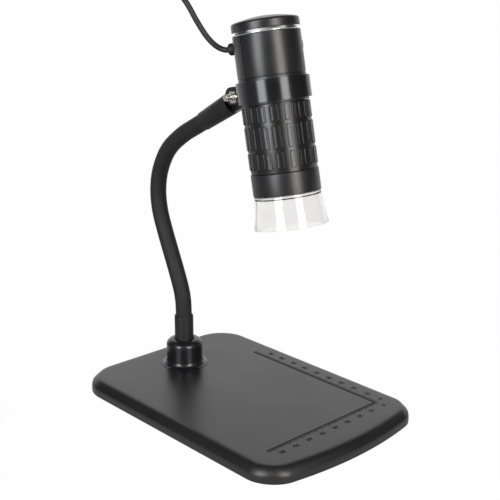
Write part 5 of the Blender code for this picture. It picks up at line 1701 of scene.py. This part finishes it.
@dataclass
class Barrel:
    """The upper barrel: cap, chrome band, two shells, grommet, button and wheel."""

    radius: float = 17.75 * MM
    wall: float = 1.6 * MM
    start: float = 6.9 * MM
    end: float = 42.35 * MM
    groove: float = 28.6 * MM
    seam: float = math.radians(-90.0)
    seam_half: float = math.radians(3.0)
    lip_depth: float = 0.3 * MM
    lip_gap: float = math.radians(0.7)
    lip_lap: float = math.radians(2.0)
    groove_half: float = 0.32 * MM
    groove_depth: float = 0.35 * MM
    cap_round: float = 1.5 * MM
    cap_crown: float = 2.2 * MM
    cap_end: float = 4.7 * MM
    spigot_end: float = 7.5 * MM
    band_top: float = 4.75 * MM
    band_low: float = 6.8 * MM
    controls_angle: float = math.radians(65.0)
    button_station: float = 14.5 * MM
    wheel_station: float = 24.2 * MM
    wheel_radius: float = 6.35 * MM
    wheel_proud: float = 0.8 * MM
    wheel_bore: float = 1.5 * MM
    wheel_half: float = 1.2 * MM
    wheel_teeth: int = 30

    def build(self) -> None:
        """Build the upper barrel."""
        self.make_cap()
        self.make_band()
        self.make_shells()
        self.make_grommet()
        self.make_button()
        self.make_wheel()
        for node in ("main_board", "sensor_board", "dimmer_pot"):
            dress_solid(node, GREEN_BOARD)

    def make_cap(self) -> None:
        """The top cap: a low crown inside a round rim."""
        down, rim, spigot = PLACES.down, self.radius - self.cap_round, self.radius - self.wall - 0.25 * MM
        profile: Profile = [(rim * i / 16, down(-self.cap_crown * (1 - (i / 16) ** 2))) for i in range(17)]
        for angle in quarter(8, 1):
            station = self.cap_round * (1 - math.cos(angle))
            profile.append((rim + self.cap_round * math.sin(angle), down(station)))
        end, soft = self.cap_end, 0.15 * MM
        edge = [(self.radius, end - soft), (self.radius - soft, end), (spigot, end)]
        edge += [(spigot, self.spigot_end), (0, self.spigot_end)]
        profile += [(radius, down(station)) for radius, station in edge]
        mesh = as_mesh(turned(profile, Ends.ON_AXIS, 128), "cap_moulding", PLACES.scope)
        show(mesh, SATIN, "microscope", ["top_cap"])

    def make_band(self) -> None:
        """The bright band under the cap: a face that slants outwards over a short round return."""
        inner, outer, top, low = self.radius - self.wall, self.radius, self.band_top, self.band_low
        corners = [(inner, top, 0), (outer - 0.42 * MM, top, 0), (outer + 0.2 * MM, 6.35 * MM, 0.25 * MM)]
        corners += [(outer, low, 0.1 * MM), (inner, low, 0)]
        mesh = round_mesh(PLACES.section(corners), Ends.JOINED, "bright_band", PLACES.scope, sides=160)
        show(mesh, CHROME, "microscope", ["chrome_ring"])

    def shell_loop(self, radius: float) -> Profile:
        """The shells' section, with its groove.

        Args:
            radius: The section's outer radius.

        Returns:
            The section's points.
        """
        inner, soft = self.radius - self.wall, 0.2 * MM
        half, deep = self.groove_half, radius - self.groove_depth
        upper = [(inner, self.start, 0), (radius, self.start, soft)]
        groove = [(radius, self.groove - half, 0.1 * MM), (deep, self.groove - half / 2, 0.05 * MM)]
        groove += [(deep, self.groove + half / 2, 0.05 * MM), (radius, self.groove + half, 0.1 * MM)]
        lower = [(radius, self.end, soft), (inner, self.end, 0)]
        return rounded_corners(PLACES.section(upper + groove + lower), 3, closed=True)

    def opening(self, outline: Profile, place: Matrix) -> Tool:
        """The cut of an outline through the barrel's wall, at a frame that points outwards."""
        cutter = prism(outline, self.radius - self.wall - 2 * MM, self.radius + 2 * MM)
        return "DIFFERENCE", as_mesh(cutter, "opening", PLACES.scope.inverted() @ place)

    def make_shells(self) -> None:
        """Front shell and rear cover, whose narrow lip shows in the seam."""
        half, sweep = self.seam_half, math.pi - 2 * self.seam_half
        section = self.shell_loop(self.radius)
        front = as_mesh(part_turned(section, self.seam + half, sweep, 90), "front_shell")
        rear = as_mesh(part_turned(section, self.seam + math.pi + half, sweep, 90), "rear_cover")
        rear = carved(rear, [self.opening(circle(3.2 * MM, 40), PLACES.grommet())])
        lip, gap, lap = self.shell_loop(self.radius - self.lip_depth), self.lip_gap, self.lip_lap
        width = 2 * half - gap + lap
        first = part_turned(lip, self.seam + math.pi - half + gap, width, 8)
        second = part_turned(lip, self.seam - half - lap, width, 8)
        rear = merged([rear, as_mesh(first, "lip"), as_mesh(second, "lip")], "rear_cover")
        stations = (self.button_station, self.wheel_station)
        button, wheel = [PLACES.outward(self.controls_angle, station) for station in stations]
        hole = self.opening(circle(4.25 * MM, 48), button)
        slot = self.opening(rounded_box(3.0 * MM, 12.4 * MM, 0.8 * MM), wheel)
        front = carved(front, [hole, slot])
        for mesh, solid in ((front, "barrel_front_shell"), (rear, "barrel_rear_cover")):
            mesh.transform(PLACES.scope)
            show(mesh, SATIN, "microscope", [solid])

    def make_grommet(self) -> None:
        """The rubber grommet: a short bulb that narrows to the cable."""
        corners = [(0, 13.7, 0), (4.2, 13.7, 0), (4.2, 15.2, 0), (3.0, 15.2, 0), (3.0, 17.9, 0.2)]
        corners += [(3.2, 18.5, 0.5), (3.15, 20.9, 1.3), (1.9, 21.35, 0.3), (1.8, 21.75, 0.1), (0, 21.75, 0)]
        place = PLACES.grommet()
        mesh = round_mesh(in_metres(corners), Ends.ON_AXIS, "rubber_grommet", place, steps=5, sides=48)
        show(mesh, PLAIN_RUBBER, "microscope", ["cable_grommet"])

    def make_button(self) -> None:
        """The snapshot button: a round cap with a dished face."""
        corners = [(0, 9.2, 0), (1.6, 9.2, 0), (1.6, 14.15, 0), (5.0, 14.15, 0), (5.0, 15.0, 0)]
        corners += [(3.9, 15.0, 0), (3.9, 17.85, 0.5), (2.9, 18.15, 0.3), (1.6, 17.95, 1.2), (0, 17.9, 0)]
        place = PLACES.outward(self.controls_angle, self.button_station)
        mesh = round_mesh(in_metres(corners), Ends.ON_AXIS, "round_button", place, steps=5, sides=64)
        show(mesh, GLOSS, "button", ["snapshot_button"])

    def make_wheel(self) -> None:
        """The dimmer wheel: a thin disc with rounded teeth round its rim."""
        middle = self.radius + self.wheel_proud - self.wheel_radius
        place = PLACES.scope @ Matrix.Rotation(self.controls_angle, 4, "Z")
        place @= Matrix.Translation((middle, 0, PLACES.down(self.wheel_station)))
        rim = self.wheel_radius - 0.3 * MM
        bore, half = self.wheel_bore, self.wheel_half
        corners = [(bore, -half, 0), (rim, -half, 0.3 * MM), (rim, half, 0.3 * MM), (bore, half, 0)]
        disc = round_mesh(corners, Ends.JOINED, "disc", steps=3, sides=72)
        outline = [(x + rim - 0.05 * MM, y) for x, y in circle(0.35 * MM, 10)]
        tooth = as_mesh(prism(outline, -1.05 * MM, 1.05 * MM), "tooth", sharp=50)
        teeth = round_row("wheel_teeth", tooth, self.wheel_teeth, PLAIN_RUBBER)
        mesh = merged([disc, teeth], "toothed_wheel")
        mesh.transform(place)
        show(mesh, PLAIN_RUBBER, "wheel", ["dimmer_wheel"])


@dataclass
class FocusRing:
    """The ribbed focus ring: a plain tube under three rows of raised pads."""

    bore: float = 15.5 * MM
    body_radius: float = 17.55 * MM
    pad_height: float = 0.45 * MM
    start: float = 42.45 * MM
    end: float = 77.8 * MM
    ribs: int = 27
    rib_angle: float = math.radians(8.0)
    rows: tuple[tuple[float, float], ...] = (
        (43.1 * MM, 51.6 * MM), (53.3 * MM, 65.2 * MM), (66.9 * MM, 75.5 * MM))
    rim: tuple[tuple[float, float], ...] = (
        (0.0, 0.72), (0.1, 0.96), (0.24, 1.0), (0.62, 1.0), (0.8, 0.92), (0.98, 0.9))

    def build(self) -> None:
        """Build the ring."""
        soft = 0.25 * MM
        corners = [(self.bore, self.start, 0), (self.body_radius, self.start, soft)]
        corners += [(self.body_radius, self.end, soft), (self.bore, self.end, 0)]
        parts = [round_mesh(PLACES.section(corners), Ends.JOINED, "ring", sides=128)]
        for low, high in self.rows:
            parts.append(round_row("rib_row", self.pad(low, high), self.ribs, GRIP_SATIN))
        mesh = merged(parts, "ribbed_focus_ring")
        mesh.transform(PLACES.scope)
        show(mesh, GRIP_SATIN, "focus", ["focus_ring"])

    def pad(self, low: float, high: float) -> bpy.types.Mesh:
        """One raised pad with round ends, a rounded rim and a shallow hollow along its middle.

        Args:
            low: The station of its upper end.
            high: The station of its lower end.

        Returns:
            The pad's mesh, on the ring at the angle 0.
        """
        width = self.body_radius * self.rib_angle
        length = high - low
        bm = bmesh.new()
        middle = PLACES.down((low + high) / 2)
        levels = [(-0.06 * MM, -0.05 * MM)]
        levels += [(inset * MM, self.pad_height * share) for inset, share in self.rim]
        rings = []
        for inset, height in levels:
            across, along = width - 2 * inset, length - 2 * inset
            radius = self.body_radius + height
            ring = []
            for x, y in rounded_box(along, across, min(0.9 * MM, across * 0.49), 5):
                angle = y / self.body_radius
                ring.append(bm.verts.new((radius * math.cos(angle), radius * math.sin(angle), middle + x)))
            rings.append(ring)
        join_rings(bm, rings)
        bm.faces.new(rings[0])
        bm.faces.new(rings[-1])
        return as_mesh(bm, "pad", sharp=60)


@dataclass
class FrontEnd:
    """The lower barrel: inner tube, lens, front ring, lamps and the clear hood."""

    ring_radius: float = 18.0 * MM
    ring_start: float = 77.9 * MM
    ring_end: float = 89.4 * MM
    bore: float = 15.5 * MM
    lamp_count: int = 8
    lamp_circle: float = 10.5 * MM
    lamp_radius: float = 1.25 * MM
    board_top: float = 82.4 * MM
    board_thickness: float = 1.2 * MM
    board_hole: float = 7.6 * MM
    board_radius: float = 13.5 * MM
    lens_station: float = 77.4 * MM
    lens_radius: float = 5.0 * MM
    lens_rise: float = 1.8 * MM
    lens_hollow: float = 0.4 * MM
    lens_bulge: float = 0.55 * MM

    def build(self) -> None:
        """Build the lower barrel."""
        self.make_ring()
        self.make_lamps()
        self.make_lens()
        self.make_hood()
        dress_solid("inner_tube", INSIDE)

    def make_ring(self) -> None:
        """The plain front ring."""
        corners = [(self.bore, self.ring_start, 0), (self.ring_radius, self.ring_start, 0.35 * MM)]
        corners += [(self.ring_radius, self.ring_end, 0.2 * MM), (self.bore, self.ring_end, 0.15 * MM)]
        section = PLACES.section(corners)
        mesh = round_mesh(section, Ends.JOINED, "plain_front_ring", PLACES.scope, steps=5, sides=128)
        show(mesh, SATIN, "microscope", ["front_ring"])

    def make_lamps(self) -> None:
        """The lamp board: a white ring with clear-domed lamps over yellow chips."""
        down = PLACES.down
        top, bottom = down(self.board_top), down(self.board_top + self.board_thickness)
        hole, edge, lamp = self.board_hole, self.board_radius, self.lamp_radius
        plate = turned([(hole, top), (edge, top), (edge, bottom), (hole, bottom)], Ends.JOINED)
        show(as_mesh(plate, "lamp_board", PLACES.scope), WHITE_BOARD, "microscope", ["led_board"])
        neck = bottom - 0.75 * MM
        dome: Profile = [(0, bottom + 0.1 * MM), (lamp, bottom + 0.1 * MM), (lamp, neck)]
        dome += [around((0.0, neck), lamp, -angle) for angle in quarter(8, 1)[:-1]]
        dome.append((0, neck - lamp))
        on_circle = Matrix.Translation((self.lamp_circle, 0, 0))
        domed = as_mesh(turned(dome, Ends.ON_AXIS, 20), "lamp", on_circle)
        chip = prism(rounded_box(1.1 * MM, 1.1 * MM, 0.1 * MM, 2), bottom - 0.35 * MM, bottom + 0.05 * MM)
        square = as_mesh(chip, "chip", on_circle)
        for name, shape, finish in (("lamp_domes", domed, LED_CLEAR), ("lamp_chips", square, YELLOW_CHIP)):
            row = round_row(name, shape, self.lamp_count, finish)
            row.transform(PLACES.scope)
            show(row, finish, "microscope")

    def make_lens(self) -> None:
        """The lens in its dark carriage."""
        dress_solid("lens_carriage", INSIDE)
        low, edge = PLACES.down(self.lens_station), self.lens_radius
        waist = low + self.lens_rise
        profile: Profile = [(edge * i / 8, waist + self.lens_hollow * (i / 8) ** 2) for i in range(9)]
        front = low + self.lens_bulge
        for angle in quarter(10)[:-1]:
            profile.append((edge * math.cos(angle), front - self.lens_bulge * math.sin(angle)))
        profile.append((0, low))
        lens = as_mesh(turned(profile, Ends.ON_AXIS, 64), "front_lens", PLACES.scope)
        show(lens, LENS_GLASS, "lens", ["objective_lens"])

    def make_hood(self) -> None:
        """The clear contact hood: flared, thin, with a rim at each end."""
        corners = [(13.9, 84.95, 0.1), (15.15, 84.95, 0.1), (15.15, 89.7, 0), (17.6, 89.7, 0.25)]
        corners += [(18.3, 97.6, 0.6), (19.8, 106.9, 0.35), (18.9, 106.95, 0.3), (17.3, 97.8, 3)]
        corners += [(16.5, 91.3, 0.5), (13.9, 91.2, 0.1)]
        section = PLACES.section(in_metres(corners))
        mesh = round_mesh(section, Ends.JOINED, "clear_contact_hood", PLACES.scope, steps=5, sides=160)
        show(mesh, HOOD_CLEAR, "hood", ["clear_hood"])


@dataclass
class Cable:
    """The cable from the grommet over a free arch to its coil on the table, and the plug; routes in mm."""

    diameter: float = 3.0 * MM
    exit_radial: float = 22.05 * MM
    route: tuple[Triple, ...] = (
        (-4.5, -12.3, 205.1), (-7.5, -14.5, 207.0), (-11.2, -17.2, 211.5), (-15.4, -20.1, 219.0),
        (-20.8, -23.9, 230.0), (-29.0, -30.0, 240.5), (-42.0, -41.0, 247.0), (-57.0, -54.5, 249.0),
        (-72.0, -68.5, 247.5), (-86.5, -83.5, 240.0), (-97.0, -96.0, 224.5), (-102.4, -102.4, 200.0),
        (-104.3, -104.9, 160.0), (-104.8, -106.2, 110.0), (-104.8, -107.0, 60.0), (-104.7, -108.6, 25.0),
        (-104.5, -113.0, 7.0), (-104.6, -121.0, 1.6), (-105.0, -130.0, 1.6))
    free_points: int = 240
    free_step: float = 1.5 * MM
    free_sides: int = 20
    wound_sides: int = 16
    coil_centre: tuple[float, float] = (-84.5 * MM, -142.0 * MM)
    coil_mean: float = 16.0 * MM
    coil_turns: float = 10.25
    coil_layers: int = 4
    coil_step: float = 3.5 * MM
    plug_route: tuple[Triple, ...] = ((10.0, 0.1, -0.5), (15.5, 1.3, -3.0), (20.5, 3.2, -6.6))
    plug_reach: float = 26.10 * MM
    plug_side: float = 4.5 * MM
    plug_height: float = 3.9 * MM
    coil_height: float = 1.6 * MM
    gap: float = 0.3 * MM

    def coil(self) -> list[Vector]:
        """The coil's middle line: layers that spiral in and out."""
        per_layer = self.coil_turns / self.coil_layers
        width = per_layer * self.coil_step
        outer = self.coil_mean + width / 2
        count = round(self.coil_turns * 36)
        points = []
        for i in range(count + 1):
            turn = self.coil_turns * i / count
            layer = min(int(turn / per_layer), self.coil_layers - 1)
            inwards = turn - layer * per_layer
            drift = self.coil_step * inwards
            radius = outer - drift if layer % 2 == 0 else outer - width + drift
            climbed = 0.0
            for change in range(1, self.coil_layers):
                share = min(max((turn - change * per_layer) / 0.5 + 0.5, 0.0), 1.0)
                climbed += share * share * (3 - 2 * share)
            spot = around(self.coil_centre, radius, math.pi + math.tau * turn)
            points.append(Vector((*spot, self.coil_height + self.coil_step * climbed)))
        return points

    def free_line(self, coil: list[Vector]) -> list[Vector]:
        """The free stretch's middle line.

        Args:
            coil: The coil's middle line, which it runs into.

        Returns:
            Its points, from the grommet on.
        """
        lead = level_heading(coil[1], coil[0])
        meet = coil[0] + lead * (self.diameter + self.gap)
        route = [PLACES.grommet() @ Vector((0, 0, self.exit_radial)), *[Vector(p) * MM for p in self.route]]
        route.append(meet + lead * self.diameter)
        return [*smooth_line(route, self.free_points), meet]

    def chain(self) -> list[str]:
        """The bodies between the microscope and the stand, in order along the cable."""
        return ["microscope", "clamp", *[f"neck_{i}" for i in range(8, 1, -1)], "stand"]

    def build(self) -> None:
        """Build the cable's lengths, the coil and the plug."""
        coil = self.coil()
        free = self.free_line(coil)
        chain = self.chain()
        total = line_length(free)
        shares = [total * i / (len(chain) - 1) for i in range(len(chain))]
        for index, (start, end) in enumerate(zip(shares, shares[1:])):
            path = stretch(free, start, end, self.free_step)
            round_length = tube(path, self.diameter / 2, self.free_sides)
            mesh = as_mesh(round_length, f"cable_length_{index + 1}", sharp=50)
            piece = piece_of(mesh, CORD_RUBBER, ["usb_cable"] if index == 0 else [])
            upper, lower = chain[index], chain[index + 1]
            tuple(path[-1])
            tuple(path[0])
            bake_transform(piece)
            tuple(path[0])
            line_length(path)
            [tuple(p) for p in path]
            LOG.info("%s: %.0f mm, between %s and %s", mesh.name, line_length(path) / MM, upper, lower)
        end = coil[-1]
        relief = Vector((end.x + self.plug_reach, end.y + self.plug_side, self.plug_height))
        away = level_heading(coil[-2], end)
        run = [end, end + away * self.diameter, *[end + Vector(p) * MM for p in self.plug_route]]
        run += [relief - Vector((self.diameter, 0, 0)), relief]
        whole = [free[-1], *coil, *smooth_line(run, 40)[1:]]
        mesh = as_mesh(tube(whole, self.diameter / 2, self.wound_sides), "cable_wound", sharp=50)
        piece = show(mesh, CORD_RUBBER, "stand", ["cable_coil"])
        plug = self.make_plug(relief + Vector((self.gap, 0, 0)))
        tuple(whole[0])
        line_length(whole)
        [tuple(p) for p in whole]
        LOG.info("cable: %.3f m free, %.3f m wound", total, line_length(whole))

    def make_plug(self, start: Vector) -> list[bpy.types.Object]:
        """The plug: moulded grip with a ribbed relief, metal shell and its tongue.

        Args:
            start: Where the relief begins.

        Returns:
            The plug's pieces.
        """
        place = Matrix.Translation(start) @ Matrix.Rotation(math.pi / 2, 4, "Y")
        corners = [(1.55, 0, 0), (1.85, 0, 0.1), (2.35, 7, 0), (2.35, 9, 0), (1.55, 9, 0)]
        parts = [round_mesh(in_metres(corners), Ends.JOINED, "relief", steps=3, sides=32)]
        for i in range(5):
            z, edge = 1.0 + 1.2 * i, 2.2 + 0.07 * i
            corners = [(1.6, z, 0), (edge, z, 0.15), (edge, z + 0.6, 0.15), (1.6, z + 0.6, 0)]
            parts.append(round_mesh(in_metres(corners), Ends.JOINED, "rib", steps=3, sides=32))
        dents = []
        for side in (-1, 1):
            for i in range(5):
                spot = Matrix.Translation((side * 3.8 * MM, 0, (12 + 2.2 * i) * MM))
                spot @= Matrix.Rotation(math.pi / 2, 4, "Y")
                dents.append(("DIFFERENCE", as_mesh(block((0.9, 9), 0.4, -0.5, 0.5, 3), "dent", spot)))
        grip = as_mesh(block((7.6, 14.0), 1.6, 7, 29), "grip")
        parts.append(bevelled(carved(grip, dents), 0.3 * MM))
        body = merged(parts, "plug_grip")
        body.transform(place)
        first = show(body, PLUG_RUBBER, "stand", ["usb_plug_body"])
        shell = as_mesh(block((4.5, 12.0), 0.4, 29.3, 41.3, 3), "shell")
        tools = [("DIFFERENCE", as_mesh(block((3.8, 11.3), 0.2, 31, 43, 3), "hollow"))]
        for y in (-2.9, 2.9):
            spot = Matrix.Translation((0, y * MM, 37.2 * MM)) @ Matrix.Rotation(-math.pi / 2, 4, "Y")
            tools.append(("DIFFERENCE", as_mesh(block((2.3, 2.3), 0.1, 1.5, 4, 2), "window", spot)))
        metal = carved(shell, tools)
        metal.name = "plug_shell"
        metal.transform(place)
        second = show(metal, PLATED, "stand", ["usb_plug_shell"])
        outline = [(0.1 * MM, -5.5 * MM), (1.8 * MM, -5.5 * MM), (1.8 * MM, 5.5 * MM), (0.1 * MM, 5.5 * MM)]
        tongue = as_mesh(prism(outline, 30.5 * MM, 40.6 * MM), "plug_tongue", place)
        third = show(tongue, PLUG_TONGUE, "stand")
        return [first, second, third]


def main() -> None:
    """Build the studio and every sub-assembly in order."""
    logging.basicConfig(level=logging.INFO, format="%(name)s %(message)s")
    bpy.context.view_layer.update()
    steps: list[Callable[[], None]] = [
        Studio().build,
        Cable().build,
        Base().build,
        NeckFoot().build,
        Gooseneck().build,
        Clamp().build,
        Barrel().build,
        FocusRing().build,
        FrontEnd().build,
    ]
    for step in steps:
        step()
    bpy.context.view_layer.update()


if __name__ == "__main__":
    main()
